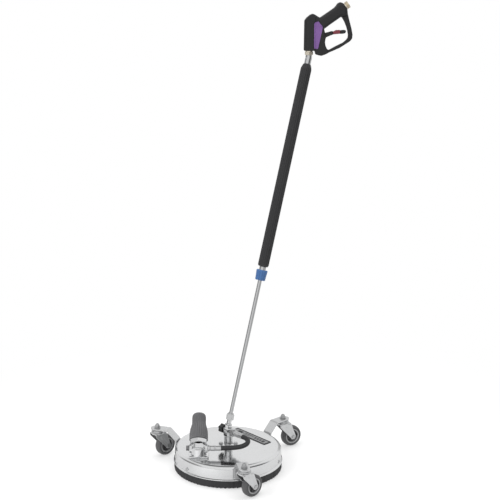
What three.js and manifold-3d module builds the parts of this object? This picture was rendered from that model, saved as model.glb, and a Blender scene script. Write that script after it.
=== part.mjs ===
// Walk-behind surface cleaner: a castored stainless deck with a spinning spray bar under it,
// fed through a hinged lance with a trigger gun and a short bypass hose.
// Millimetres, +Z up. The floor is Z = 0. The operator stands on the +Y side, so front is -Y.
// The parts are laid out about the deck's own axis. The whole group is then moved so that the
// origin is on the floor at the middle of the machine's plan outline.

import * as THREE from 'three';
import { mergeVertices } from 'three/addons/utils/BufferGeometryUtils.js';
import Module from 'manifold-3d';

const wasm = await Module();
wasm.setup();

// ---------------------------------------------------------------- driving dimensions
const PLAN_CENTRE_Y = 114.595; // deck axis to the middle of the machine's plan outline

const DECK_R = 147.5; // outside of the side wall
const DECK_LIP_R = 151; // rolled lip
const DECK_TOP = 62.5; // top face
const DECK_WALL = 2; // sheet thickness
const DECK_CORNER = 10; // outer radius of the pressed corner
const DECK_SEGS = 48;
const DECK_GAP = 0.3; // between the deck sheet and parts mounted on it
const ON_DECK_Z = DECK_TOP + DECK_GAP;
const UNDER_DECK_Z = DECK_TOP - DECK_WALL - DECK_GAP;

const SCREW_ANGLES = [30, 150, 270]; // brush screws around the deck wall
const SCREW_Z = 34;
const SCREW_HOLE_R = 2.9;
const POST_BOLT_ANGLES = [50, 140, 230, 320];
const POST_BOLT_CIRCLE_R = 20.5;
const POST_BOLT_HOLE_R = 3.4;

const PIVOT_Z = 106; // lance tilt axis, along X
const PIVOT_BORE_R = 6.4;

const HANDLE = [2.5, -109.5]; // plan place of the front handle block
const HANDLE_YAW = 48; // its cross bore points along this plan angle
const BORE_Z = 85.3; // cross bore of the handle block
const HOSE_END = 61; // hose end from the handle block's axis
const FEED_Z = 45; // feed pipe's run under the deck
const FEED_HOLE_R = 6.5; // hole for the feed pipe in the deck and handle block

const GUN_AXIS_Y = 288.5; // upright axis of the gun barrel

// ---------------------------------------------------------------- materials
const standard = (settings) => new THREE.MeshStandardMaterial(settings);
const mirrorSteel = () => standard({ color: 0xdcdde0, roughness: 0.06, metalness: 1 });
const satinSteel = () => standard({ color: 0xb4b6b9, roughness: 0.35, metalness: 1 });
const zincSteel = () => standard({ color: 0xaeb1b5, roughness: 0.4, metalness: 0.9 });
const darkSteel = () => standard({ color: 0x55585c, roughness: 0.45, metalness: 0.9 });
const brass = () => standard({ color: 0xc9a86e, roughness: 0.3, metalness: 1 });
const brushBlack = () => standard({ color: 0x2b2b2c, roughness: 0.95, metalness: 0 });
const gripGrey = () => standard({ color: 0x5e6064, roughness: 0.8, metalness: 0 });
const sleeveBlack = () => standard({ color: 0x3b3c3e, roughness: 0.75, metalness: 0 });
const gunBlack = () => standard({ color: 0x28292b, roughness: 0.5, metalness: 0 });
const hoseBlack = () => standard({ color: 0x1d1d1f, roughness: 0.55, metalness: 0 });
const nutBlue = () => standard({ color: 0x3e6396, roughness: 0.45, metalness: 0 });
const latchRed = () => standard({ color: 0xa02a38, roughness: 0.45, metalness: 0 });
const tyreGrey = () => standard({ color: 0x6d6e70, roughness: 0.7, metalness: 0 });
const wheelGrey = () => standard({ color: 0x8d8f92, roughness: 0.5, metalness: 0 });
const labelGrey = () => standard({ color: 0x8b8d90, roughness: 0.4, metalness: 0.3 });

// ---------------------------------------------------------------- solids
function indexed(geometry) {
  const bare = geometry.clone();
  for (const name of Object.keys(bare.attributes)) {
    if (name !== 'position') bare.deleteAttribute(name);
  }
  return mergeVertices(bare, 1e-4);
}

// One closed shell with its faces pointing out, and no slivers on the axis of a turned part.
function closed(geometry) {
  const result = indexed(geometry);
  const { position } = result.attributes;
  const kept = [];
  let volume = 0;
  for (let i = 0; i < result.index.count; i += 3) {
    const triangle = [0, 1, 2].map((corner) => result.index.getX(i + corner));
    if (new Set(triangle).size < 3) continue;
    kept.push(...triangle);
    const [first, second, third] = triangle.map(
      (vertex) => new THREE.Vector3().fromBufferAttribute(position, vertex));
    volume += first.dot(second.cross(third)) / 6;
  }
  if (volume < 0) {
    for (let i = 0; i < kept.length; i += 3) [kept[i], kept[i + 1]] = [kept[i + 1], kept[i]];
  }
  result.setIndex(kept);
  return result;
}

function toSolid(geometry) {
  const shell = closed(geometry);
  return new wasm.Manifold(new wasm.Mesh({
    numProp: 3,
    vertProperties: new Float32Array(shell.attributes.position.array),
    triVerts: new Uint32Array(shell.index.array),
  }));
}

function fromSolid(solid) {
  const mesh = solid.getMesh();
  const geometry = new THREE.BufferGeometry();
  const vertices = new Float32Array(mesh.vertProperties);
  geometry.setAttribute('position', new THREE.BufferAttribute(vertices, 3));
  geometry.setIndex(new THREE.BufferAttribute(new Uint32Array(mesh.triVerts), 1));
  return geometry;
}

const join = (...parts) => fromSolid(parts.map(toSolid).reduce((sum, part) => sum.add(part)));
const cut = (body, ...tools) =>
  fromSolid(tools.map(toSolid).reduce((rest, tool) => rest.subtract(tool), toSolid(body)));
const common = (one, other) => fromSolid(toSolid(one).intersect(toSolid(other)));

const radians = THREE.MathUtils.degToRad;
const polar = (radius, degrees) =>
  [radius * Math.cos(radians(degrees)), radius * Math.sin(radians(degrees))];

const shift = (geometry, x, y, z) => geometry.clone().translate(x, y, z);
const turnZ = (geometry, degrees) => geometry.clone().rotateZ(radians(degrees));
// Lays +Z along +X, at height z.
const alongX = (geometry, z = 0) => geometry.clone().rotateY(Math.PI / 2).translate(0, 0, z);
// Lays +Z along +Y, at a place in the XZ plane.
const alongY = (geometry, { x, z }) =>
  geometry.clone().rotateX(-Math.PI / 2).translate(x, 0, z);

// Turned part about Z. The profile is [radius, height] pairs.
function turned(profile, segs) {
  const points = profile.map(([radius, height]) => new THREE.Vector2(radius, height));
  return closed(new THREE.LatheGeometry(points, segs).rotateX(Math.PI / 2));
}
// The same for a ring, whose profile returns to its first point.
const ringTurned = (profile, segs) => turned([...profile, profile[0]], segs);

// Round bar along Z from z0 to z1.
function bar(radius, z0, z1, segs) {
  const cylinder = new THREE.CylinderGeometry(radius, radius, z1 - z0, segs);
  return closed(cylinder.rotateX(Math.PI / 2).translate(0, 0, (z0 + z1) / 2));
}
const hex = (acrossFlats, z0, z1) => bar(acrossFlats / Math.sqrt(3), z0, z1, 6);

function box(x0, x1, y0, y1, z0, z1) {
  return closed(new THREE.BoxGeometry(x1 - x0, y1 - y0, z1 - z0)
    .translate((x0 + x1) / 2, (y0 + y1) / 2, (z0 + z1) / 2));
}

const outline = (points) => new THREE.Shape(points.map(([x, y]) => new THREE.Vector2(x, y)));

function roundedRect(width, depth, radius) {
  const right = width / 2;
  const top = depth / 2;
  const arcX = right - radius;
  const arcY = top - radius;
  const shape = new THREE.Shape();
  shape.moveTo(-arcX, -top);
  shape.lineTo(arcX, -top);
  shape.absarc(arcX, -arcY, radius, -Math.PI / 2, 0);
  shape.lineTo(right, arcY);
  shape.absarc(arcX, arcY, radius, 0, Math.PI / 2);
  shape.lineTo(-arcX, top);
  shape.absarc(-arcX, arcY, radius, Math.PI / 2, Math.PI);
  shape.lineTo(-right, -arcY);
  shape.absarc(-arcX, -arcY, radius, Math.PI, Math.PI * 1.5);
  return shape;
}

// Flat plate: an XY outline between z0 and z1.
function plate(shape, z0, z1, curveSegments = 6) {
  const settings = { depth: z1 - z0, bevelEnabled: false, curveSegments };
  return closed(new THREE.ExtrudeGeometry(shape, settings).translate(0, 0, z0));
}
// A straight-sided [x, z] outline between y0 and y1.
const plateXZ = (points, y0, y1) =>
  closed(plate(outline(points), -y1, -y0).rotateX(Math.PI / 2));
// A YZ outline between x0 and x1.
const plateYZ = (shape, x0, x1, curveSegments) =>
  closed(plate(shape, x0, x1, curveSegments).rotateX(Math.PI / 2).rotateZ(Math.PI / 2));

// Round rod swept along a smooth line through [x, y, z] points.
function swept(points, radius, steps, curveSegments) {
  const stations = points.map((point) => new THREE.Vector3(...point));
  const extrudePath = new THREE.CatmullRomCurve3(stations, false, 'centripetal');
  const section = new THREE.Shape();
  section.absarc(0, 0, radius, 0, Math.PI * 2, false);
  const settings = { steps, extrudePath, bevelEnabled: false, curveSegments };
  return closed(new THREE.ExtrudeGeometry(section, settings));
}

// ---------------------------------------------------------------- scene
const root = new THREE.Group();
root.name = 'surface_cleaner';
root.position.y = -PLAN_CENTRE_Y;

function node(group, name, geometry, material) {
  const mesh = new THREE.Mesh(closed(geometry).toNonIndexed(), material);
  mesh.geometry.computeVertexNormals();
  mesh.name = name;
  group.add(mesh);
}

function frame(x, y, z, yaw = 0) {
  const group = new THREE.Group();
  group.position.set(x, y, z);
  group.rotation.z = radians(yaw);
  root.add(group);
  return group;
}

const machine = frame(0, 0, 0);

// ---------------------------------------------------------------- deck
const screwHoles = (r0, r1) => SCREW_ANGLES.map(
  (angle) => turnZ(alongX(bar(SCREW_HOLE_R, r0, r1, 8), SCREW_Z), angle));
const postBoltHoles = (z0, z1) => POST_BOLT_ANGLES.map((angle) =>
  shift(bar(POST_BOLT_HOLE_R, z0, z1, 8), ...polar(POST_BOLT_CIRCLE_R, angle), 0));

// Profile points on the deck's corner, between two angles in degrees.
function cornerArc(radius, from, to, steps) {
  return Array.from({ length: steps + 1 }, (_, i) => {
    const [out, up] = polar(radius, from + (to - from) * i / steps);
    return [DECK_R - DECK_CORNER + out, DECK_TOP - DECK_CORNER + up];
  });
}

function buildDeckCover() {
  const lipBottom = 22.5;
  const cover = turned([
    [0, DECK_TOP],
    ...cornerArc(DECK_CORNER, 90, 0, 3),
    [DECK_R, 26.5], [DECK_LIP_R, 25.3], [DECK_LIP_R, lipBottom],
    [DECK_R - DECK_WALL, lipBottom],
    ...cornerArc(DECK_CORNER - DECK_WALL, 0, 90, 2),
    [0, DECK_TOP - DECK_WALL],
  ], DECK_SEGS);
  node(machine, 'deck_cover', cut(cover,
    ...postBoltHoles(55, 70),
    shift(bar(FEED_HOLE_R, 55, 70, 12), ...HANDLE, 0),
    ...screwHoles(138, 160)), mirrorSteel());
}

// Bristle band below the lip with its backing strip inside the wall, a clamp ring and screws.
function buildBrush() {
  const skirt = ringTurned([
    [142, 1], [149.6, 1], [149.6, 21.9], [144.8, 21.9], [144.8, 40], [142, 40],
  ], DECK_SEGS);
  node(machine, 'brush_skirt', cut(skirt, ...screwHoles(138, 147)), brushBlack());

  const clampRing = ringTurned([[139.2, 28], [141.6, 28], [141.6, 40], [139.2, 40]], DECK_SEGS);
  node(machine, 'brush_clamp_ring', cut(clampRing, ...screwHoles(136, 144)), satinSteel());

  SCREW_ANGLES.forEach((angle, i) => {
    const screw = turned([
      [0, 136.8], [2.4, 136.8], [2.4, 148.2], [4.6, 148.2], [4, 150.4], [0, 150.8],
    ], 10);
    node(frame(0, 0, SCREW_Z, angle), `brush_screw_${i + 1}`, alongX(screw), satinSteel());
  });
}

// Plain plate on the operator's half of the top.
function buildLabel() {
  const label = { x: -5, y: 90, width: 140, depth: 28, corner: 3, top: DECK_TOP + 1.2 };
  const shape = roundedRect(label.width, label.depth, label.corner);
  const blank = plate(shape, ON_DECK_Z, label.top, 3);
  node(machine, 'deck_label', shift(blank, label.x, label.y, 0), labelGrey());
}

// ---------------------------------------------------------------- castors
const CASTORS = [ // angle: arm around the deck; yaw: plan angle from swivel axis to wheel
  { name: 'rear', angle: 90, yaw: 76 },
  { name: 'front_right', angle: 210, yaw: 90 },
  { name: 'front_left', angle: 330, yaw: 90 },
];
const CASTOR_R = 211; // swivel axis from the deck axis
const ARM_TOP = 87.5; // top face of a castor arm
const ARM_T = 4;
const ARM_W = 30;
const ARM_TIP_R = 215; // centre of the arm's round end
const SWIVEL_HOLE_R = 5.6;
const WHEEL_R = 30;
const WHEEL_W = 22;
const TRAIL = 27.5; // swivel axis to wheel axle
const FORK_TOP = 74.7;
const CHEEK_INNER = 13.1; // cheek faces from the fork's middle plane
const CHEEK_OUTER = 15.5;
const AXLE = { x: TRAIL, z: WHEEL_R };

// Bent strip, its leg on the deck wall and its end over the castor.
function buildCastorArm({ name, angle }) {
  const side = [ // [distance from deck axis, height]
    [148.2, 29], [152.2, 29], [152.2, 59], [176.7, ARM_TOP - ARM_T],
    [240, ARM_TOP - ARM_T], [240, ARM_TOP], [175, ARM_TOP], [148.2, 60.7],
  ];
  const plan = new THREE.Shape();
  plan.moveTo(140, -ARM_W / 2);
  plan.lineTo(ARM_TIP_R, -ARM_W / 2);
  plan.absarc(ARM_TIP_R, 0, ARM_W / 2, -Math.PI / 2, Math.PI / 2);
  plan.lineTo(140, ARM_W / 2);
  const strip = common(plateXZ(side, -20, 20), plate(plan, 0, 100, 8));
  const swivelHole = shift(bar(SWIVEL_HOLE_R, 70, 100, 12), CASTOR_R, 0, 0);
  node(frame(0, 0, 0, angle), `castor_arm_${name}`, cut(strip, swivelHole), satinSteel());
}

// Cap nut above the arm, raceway cup below it, and a collar under the fork's crown.
function buildKingpin({ name, angle }) {
  const kingpin = join(
    hex(13, ARM_TOP + 0.3, ARM_TOP + 7),
    turned([
      [0, ARM_TOP + 13], [3.2, ARM_TOP + 12.2], [5.4, ARM_TOP + 9.8], [6, ARM_TOP + 6.8],
      [6, ARM_TOP + 1], [5, ARM_TOP + 1], [5, 83.1], [12, 83.1], [17, 79.5], [17, 75.5],
      [5, 75.5], [5, 68], [8, 68], [8, 63.5], [0, 62.5],
    ], 12));
  const kingpinFrame = frame(...polar(CASTOR_R, angle), 0, 0);
  node(kingpinFrame, `castor_kingpin_${name}`, kingpin, zincSteel());
}

function forkBody() {
  const cheek = [ // [x, z]
    [-16, FORK_TOP], [-16, 67.5], [19.3, 27.5], [22.1, 23.3], [27.5, 21.5], [32.9, 23.4],
    [35.7, 28], [35.5, 32.5], [22, 67.5], [20, FORK_TOP],
  ];
  const crown = join(
    bar(17.5, 69.5, 74.9, 12),
    box(-16, 20, -CHEEK_OUTER, CHEEK_OUTER, 70.1, FORK_TOP));
  const body = join(crown,
    plateXZ(cheek, -CHEEK_OUTER, -CHEEK_INNER),
    plateXZ(cheek, CHEEK_INNER, CHEEK_OUTER));
  return cut(body, bar(SWIVEL_HOLE_R, 60, 90, 12), alongY(bar(4.6, -20, 20, 10), AXLE));
}

function buildForkAndWheel({ name, angle, yaw }) {
  const fork = frame(...polar(CASTOR_R, angle), 0, yaw);
  const half = WHEEL_W / 2;
  const axle = turned([
    [0, -17.9], [5.6, -17.6], [6.2, -15.8], [4, -15.8],
    [4, 15.8], [6.2, 15.8], [5.6, 17.6], [0, 17.9],
  ], 10);
  const tyre = ringTurned([
    [21.4, -half + 0.5], [27, -half + 0.5], [29.4, -half + 4], [WHEEL_R, 0],
    [29.4, half - 4], [27, half - 0.5], [21.4, half - 0.5],
  ], 24);
  const hub = ringTurned([
    [4.5, -12], [8, -12], [8, -7], [18.6, -7], [20.9, -half + 0.6],
    [20.9, half - 0.6], [18.6, 7], [8, 7], [8, 12], [4.5, 12],
  ], 12);
  node(fork, `castor_fork_${name}`, forkBody(), zincSteel());
  node(fork, `castor_axle_${name}`, alongY(axle, AXLE), satinSteel());
  node(fork, `castor_tyre_${name}`, alongY(tyre, AXLE), tyreGrey());
  node(fork, `castor_hub_${name}`, alongY(hub, AXLE), wheelGrey());
}

// ---------------------------------------------------------------- hinge post and rotary union
function buildHingePost() {
  const slotHalf = 6.3; // half the width of the clevis slot
  const post = turned([
    [0, ON_DECK_Z], [27, ON_DECK_Z], [27, 67.4], [13.4, 67.4], [12, 69],
    [12, 92], [13, 93], [13, 114.5], [0, 114.5],
  ], 20);
  node(machine, 'hinge_post', cut(post,
    box(-slotHalf, slotHalf, -30, 30, 93.5, 130),
    alongX(bar(PIVOT_BORE_R, -30, 30, 14), PIVOT_Z),
    ...postBoltHoles(60, 75)), mirrorSteel());

  POST_BOLT_ANGLES.forEach((angle, i) => {
    const bolt = join(hex(10, 67.7, 71.7), bar(3, 48, 69, 8));
    const boltFrame = frame(...polar(POST_BOLT_CIRCLE_R, angle), 0, angle);
    node(boltFrame, `post_bolt_${i + 1}`, bolt, satinSteel());
  });
}

function buildUnion() {
  const housing = turned([
    [0, UNDER_DECK_Z], [27, UNDER_DECK_Z], [27, 53], [18, 53], [18, 36],
    [13.2, 36], [13.2, 50], [8.4, 50], [8.4, 56], [0, 56],
  ], 16);
  const feedPort = bar(5.5, -30, -15.4, 10);
  node(machine, 'union_housing', cut(housing,
    ...postBoltHoles(40, 65),
    alongY(feedPort, { x: 0, z: FEED_Z })), brass());

  const bearing = ringTurned([[6.45, 37], [12.9, 37], [12.9, 49.6], [6.45, 49.6]], 16);
  node(machine, 'union_bearing', bearing, satinSteel());
}

// Hollow from the hose side (+X), solid and thinner on the knob side (-X).
function buildPivotPin() {
  const pin = turned([
    [0, -37], [4, -36.6], [4, -13.4], [6, -13.4], [6, 16], [2.4, 16], [2.4, 0], [0, 0],
  ], 14);
  node(machine, 'pivot_pin', alongX(pin, PIVOT_Z), satinSteel());
}

// ---------------------------------------------------------------- hose
function buildHose() {
  const fitting = join(
    hex(20, 16.4, 25.5),
    turned([
      [0, 22], [6.5, 22], [6.5, 27.5], [8, 28], [8, 44], [7.2, 45.5], [7.2, 60], [0, 60],
    ], 14));
  node(machine, 'hose_fitting_rear', alongX(fitting, PIVOT_Z), satinSteel());

  // From the hinge pivot, round on the +X side, down to the handle's cross bore.
  const [endX, endY] = polar(HOSE_END + 0.4, HANDLE_YAW);
  node(machine, 'hose', swept([
    [60.7, 0, PIVOT_Z], [66, 0, PIVOT_Z], [74, 0.2, 105], [83, -1.5, 101], [87, -10, 96.5],
    [82, -23, 91.5], [69.5, -37, 88], [56.5, -50, 86.2],
    [HANDLE[0] + endX, HANDLE[1] + endY, BORE_Z],
  ], 6.5, 16, 4), hoseBlack());
}

// ---------------------------------------------------------------- front handle
const GRIP_LEAN = 45; // degrees from upright, towards the handle frame's +Y
const GRIP_BASE = [0, 8, 104.6]; // centre of the grip's base ring, in the handle's frame

// Stands a part built along Z on the leaning grip axis, Z = 0 being the base ring.
const onGrip = (geometry) => shift(geometry.clone().rotateX(-radians(GRIP_LEAN)), ...GRIP_BASE);

function handleBlock() {
  const block = join(
    plate(roundedRect(56, 38, 4), ON_DECK_Z, 67, 3),
    turned([
      [0, 66], [19, 66], [21, 68], [21, 87], [19.5, 94], [15, 99.5], [0, 103.5],
    ], 16),
    onGrip(bar(16, -27, -12.4, 14)),
    alongX(bar(12.5, -24.6, 24.6, 14), BORE_Z));
  return cut(block,
    onGrip(bar(60, -12.3, 70, 8)), // clears everything above the grip's seat
    bar(FEED_HOLE_R, 60, 74, 12),
    alongX(bar(3.2, -10, 30, 8), BORE_Z));
}

function buildHandle() {
  const handle = frame(...HANDLE, 0, HANDLE_YAW);
  const plug = join(hex(12, -33.5, -27), bar(8, -27.5, -25, 10));
  const fitting = turned([
    [0, 25], [8.6, 25], [8.6, 29], [7.3, 30], [7.3, 46], [6.7, 47.5],
    [6.7, HOSE_END], [0, HOSE_END],
  ], 14);
  const grip = turned([
    [0, 0], [25.2, 0], [25.2, 12], [24.5, 24], [22.6, 34], [19.7, 44],
    [19, 50], [19, 67], [16.3, 74.4], [9.4, 78.2], [0, 79],
  ], 18);
  node(handle, 'handle_block', handleBlock(), mirrorSteel());
  node(handle, 'handle_plug', alongX(plug, BORE_Z), darkSteel());
  node(handle, 'hose_fitting_front', alongX(fitting, BORE_Z), satinSteel());
  node(handle, 'handle_nut', onGrip(hex(44, -12, -0.4)), mirrorSteel());
  node(handle, 'handle_grip', onGrip(grip), gripGrey());
}

// Down from the handle block through the deck, then back to the union.
function buildFeedPipe() {
  const [x, y] = HANDLE;
  node(machine, 'feed_pipe', swept([
    [x, y, 73.4], [x, y, 56], [x, y + 3.5, 49],
    [1.8, -98, 45.6], [0, -78, FEED_Z], [0, -17.5, FEED_Z],
  ], 5, 12, 4), satinSteel());
}

// ---------------------------------------------------------------- rotor
const ROTOR_Z = 26; // spray bar height
const NOZZLE_CIRCLE_R = 118.3;

function buildRotor() {
  const hub = turned([
    [0, 18], [15.5, 18], [17, 19.5], [17, 32.5], [15.5, 34], [6, 34], [6, 54], [0, 54],
  ], 16);
  const barHole = alongX(bar(6.5, -30, 30, 12), ROTOR_Z);
  node(machine, 'rotor_hub', cut(hub, barHole), satinSteel());
  node(machine, 'rotor_bar', alongX(bar(6, -110.4, 110.4, 12), ROTOR_Z), satinSteel());
  [-1, 1].forEach((side, i) => {
    const nozzle = turned([
      [0, 9], [2.6, 9], [4.4, 12], [7.5, 13.5], [7.5, 34], [0, 34.2],
    ], 12);
    node(machine, `rotor_nozzle_${i + 1}`, shift(nozzle, side * NOZZLE_CIRCLE_R, 0, 0), brass());
  });
}

// ---------------------------------------------------------------- lance
const LANCE_TILT = radians(16.13); // from upright, towards the operator
const LANCE_SET = -4.1; // Y offset of the tube from the tilt axis, forward
const LOWER_TUBE_R = 5.5; // tube below the coupling nut
const LOWER_BORE_R = LOWER_TUBE_R + 0.5; // bore of the nuts around it
const TUBE_R = 6.75; // tube inside the sleeve
const SLEEVE_BORE_R = TUBE_R + 0.5;
const NECK_R = 9.2; // neck between the sleeve and the gun

// Eye on the pivot pin with a spigot above it.
function lanceTongue() {
  const eye = new THREE.Shape(); // in [y, z]
  eye.absarc(0, 0, 10.5, Math.PI * 0.78, Math.PI * 2.22, false);
  eye.lineTo(LANCE_SET + 7, 17);
  eye.lineTo(LANCE_SET - 7, 17);
  const spigot = turned([
    [0, 16], [9.4, 16], [10, 16.8], [10, 19.4], [6.6, 21], [6.6, 36.8], [0, 36.8],
  ], 14);
  const body = join(plateYZ(eye, -6, 6, 12), shift(spigot, 0, LANCE_SET, 0));
  return cut(body, alongX(bar(PIVOT_BORE_R, -10, 10, 14)));
}

function lanceNut() {
  const body = join(hex(20, 31, 47), turned([[0, 43], [8.8, 43], [8.8, 50], [0, 50]], 12));
  return cut(body, bar(7.25, 25, 37.1, 12), bar(LOWER_BORE_R, 36, 55, 12));
}

function couplingNut() {
  const bottom = 426.6;
  const top = 455.4;
  const step = 430.3; // where the bore widens
  return ringTurned([
    [LOWER_BORE_R, bottom], [13.2, bottom], [14, bottom + 1.5],
    [15.6, top - 1.5], [14.8, top], [10.1, top], [10.1, step], [LOWER_BORE_R, step],
  ], 16);
}

// A point in the machine's YZ plane, in the tilted tube's own frame.
function toStem(y, z) {
  const rise = z - PIVOT_Z;
  return [
    0,
    y * Math.cos(LANCE_TILT) - rise * Math.sin(LANCE_TILT) - LANCE_SET,
    y * Math.sin(LANCE_TILT) + rise * Math.cos(LANCE_TILT),
  ];
}

// Straight, then a short bend so that the gun stands upright.
function upperTube() {
  const straight = turned([
    [0, 435.8], [9.5, 435.8], [9.5, 464.8], [TUBE_R, 464.8], [TUBE_R, 1036], [0, 1036],
  ], 14);
  const bend = swept([
    [0, 0, 1033], [0, 0, 1040], [0, 0, 1046],
    toStem(GUN_AXIS_Y - 1.1, 1113), toStem(GUN_AXIS_Y - 0.2, 1119), toStem(GUN_AXIS_Y, 1122.4),
  ], NECK_R, 7, 12);
  return join(straight, bend);
}

function buildLance() {
  const lance = frame(0, 0, PIVOT_Z);
  lance.rotation.x = -LANCE_TILT; // local Z runs up the lance from the tilt axis
  const stem = new THREE.Group(); // on the tube's own axis
  stem.position.y = LANCE_SET;
  lance.add(stem);

  const lowerTube = turned([
    [0, 37.2], [LOWER_TUBE_R, 37.2], [LOWER_TUBE_R, 430.6],
    [9.2, 431], [9.2, 435.4], [0, 435.4],
  ], 14);
  const sleeve = ringTurned([
    [SLEEVE_BORE_R, 465.4], [13, 465.4], [14.9, 468.4],
    [15, 1018], [9.5, 1032], [SLEEVE_BORE_R, 1032],
  ], 18);
  node(lance, 'lance_tongue', lanceTongue(), satinSteel());
  node(stem, 'lance_nut', lanceNut(), satinSteel());
  node(stem, 'lower_tube', lowerTube, satinSteel());
  node(stem, 'coupling_nut', couplingNut(), nutBlue());
  node(stem, 'upper_tube', upperTube(), satinSteel());
  node(stem, 'lance_sleeve', sleeve, sleeveBlack());
}

// Six-lobed knob on the -X end of the pivot pin.
function buildClampKnob() {
  const rim = Array.from({ length: 24 }, (_, i) => {
    const angle = i * Math.PI / 12;
    const radius = 12.1 + 0.7 * Math.cos(6 * angle);
    return [radius * Math.cos(angle), radius * Math.sin(angle)];
  });
  const knob = cut(plate(outline(rim), -29.5, -13.6), bar(4.4, -40, 0, 12));
  node(machine, 'clamp_knob', alongX(knob, PIVOT_Z), hoseBlack());
}

// ---------------------------------------------------------------- gun
// The gun's own plane is XZ: X along the handle's plan direction, Z up the barrel.
const GUN_Z = 1134; // origin of the gun's frame, near the bottom of its body
const GUN_YAW = 48; // the gun's handle points along this plan angle
const TRIGGER_PIVOT = { x: 40, z: 41 };
const LATCH_PIVOT = { x: 67.2, z: 50 };
const VALVE_PIN_Z = 47;
const SHELL_GAP = 0.15; // parting face of each shell from the middle plane
const BODY_HALF = 13.4; // half thickness of the barrel, trunk and handle
const GUARD_HALF = 6.2; // half thickness of the slim guard
const PIPE_START = [25, 0, 68.2]; // on the axis of the pipe in the handle
const PIPE_ANGLE = Math.atan2(42.5, 58.8); // rise over run

// Gun outlines are [x, z] points. This edge runs up the barrel and over the handle.
const UPPER_EDGE = [
  [-12.7, 0.8], [-14.2, 3], [-14.2, 81], [-8.8, 88.5], [0.6, 96.5], [7.7, 99], [13.7, 97.2],
  [21, 93], [27.7, 88.9], [64.7, 114.7], [68.8, 118.7], [75.2, 127.5], [82.2, 130.6],
  [88.9, 128.4], [93.7, 124.6], [101.1, 115.8], [102.7, 103.5],
];
const WHOLE_OUTLINE = [
  ...UPPER_EDGE,
  [106.7, 87.1], [114, 62.4], [117.8, 44.7], [116.8, 34], [111.4, 26.9], [84.1, 9.1],
  [54.3, -4], [44.8, -8.8], [34, -12.6], [25.5, -11.1], [17.4, -8.6], [15.4, 0.8],
];
// The thick middle: barrel, trunk and handle, without the guard.
const MIDDLE_OUTLINE = [
  ...UPPER_EDGE,
  [84.4, 91.8], [39.7, 60.1], [43, 47.1], [46.2, 37.6], [43.9, 31.7], [42.8, 24.6],
  [44.3, 15.1], [46, 0], [34, -8], [20, -6], [15.4, 0.8],
];
// The opening between handle and guard.
const WINDOW = [
  [39.7, 60.1], [84.4, 91.8], [88.1, 89.5], [94.3, 78.9], [99.5, 67.1], [103.2, 55.3],
  [105.2, 43.5], [104.5, 36.4], [100.4, 30.5], [92.2, 23.4], [70.8, 12.7], [53, 2.6],
  [48.1, 6.7], [44.3, 15.1], [42.8, 24.6], [43.9, 31.7], [46.2, 37.6], [43, 47.1],
];

// Lays a part built along Z on the pipe axis, Z = 0 being PIPE_START.
const onPipe = (geometry) =>
  shift(geometry.clone().rotateY(Math.PI / 2 - PIPE_ANGLE), ...PIPE_START);

// Half of the gun's housing; side is -1 or +1 along the gun's Y.
function gunShell(side) {
  const halfPlate = (points, thickness) => {
    const faces = [side * SHELL_GAP, side * thickness];
    return plateXZ(points, Math.min(...faces), Math.max(...faces));
  };
  const guard = cut(halfPlate(WHOLE_OUTLINE, GUARD_HALF), plateXZ(WINDOW, -20, 20));
  return cut(join(halfPlate(MIDDLE_OUTLINE, BODY_HALF), guard),
    bar(9.3, -5, 80, 14),
    onPipe(bar(7.3, -30, 100, 12)),
    alongY(bar(12.4, -7.4, 7.4, 14), TRIGGER_PIVOT), // trigger pocket
    box(TRIGGER_PIVOT.x, 52, -7.4, 7.4, 30, 62),
    alongY(bar(3.5, -11, 11, 10), TRIGGER_PIVOT), // trunnion sockets
    alongX(bar(2.8, 5, 36, 8), VALVE_PIN_Z));
}

function gunOutlet() {
  return join(
    hex(22, -10.8, -2.4),
    turned([[0, -4], [10.4, -4], [10.4, 0.3], [0, 0.3]], 16));
}

function valveBody() {
  const pipe = join(bar(6.8, -28, 91, 12), bar(10.6, 90.5, 99, 16));
  const body = join(bar(8.8, 0.9, 76, 14), onPipe(pipe));
  return cut(body, alongX(bar(2.7, 2, 12, 8), VALVE_PIN_Z));
}

// Lever and tip either side of the latch, a slim web between them, and its own trunnions.
function trigger() {
  const lever = [
    [34, 43], [34, 49], [37, 49.6], [41, 47.6], [57.8, 52.6], [62.6, 53.6],
    [62.6, 43], [55.7, 41.2], [47, 37.4], [41, 35.2], [36.4, 37.4],
  ];
  const tip = [
    [84.2, 56], [93.7, 57.1], [98.6, 56.4], [99.4, 52], [97.2, 48.2], [90, 47], [84.2, 46.6],
  ];
  const web = [[60, 52.4], [86, 53.4], [86, 47], [60, 44.4]];
  const body = join(
    plateXZ(lever, -7, 7),
    plateXZ(tip, -7, 7),
    plateXZ(web, -2.6, 2.6),
    alongY(bar(3, -10.6, 10.6, 10), TRIGGER_PIVOT));
  return cut(body, alongY(bar(2.1, -5, 5, 10), LATCH_PIVOT));
}

// Two cheeks astride the trigger's web, a bridge over it and a pivot pin through it.
function safetyLatch() {
  const { x, z } = LATCH_PIVOT;
  const cheek = [
    [x - 3.6, z], [x - 2.6, z + 2.6], [x + 2, z + 4.3], [x + 4, z + 6.2], [83.4, 57],
    [83.6, 48.6], [81, 46.6], [x, z - 3.6], [x - 2.6, z - 2.5],
  ];
  const bridge = [[x + 4, 54.1], [x + 4, 56.2], [83.4, 57], [83.5, 54.1]];
  return join(
    plateXZ(cheek, -6.6, -3),
    plateXZ(cheek, 3, 6.6),
    plateXZ(bridge, -6.6, 6.6),
    alongY(bar(1.7, -4, 4, 10), LATCH_PIVOT));
}

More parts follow.
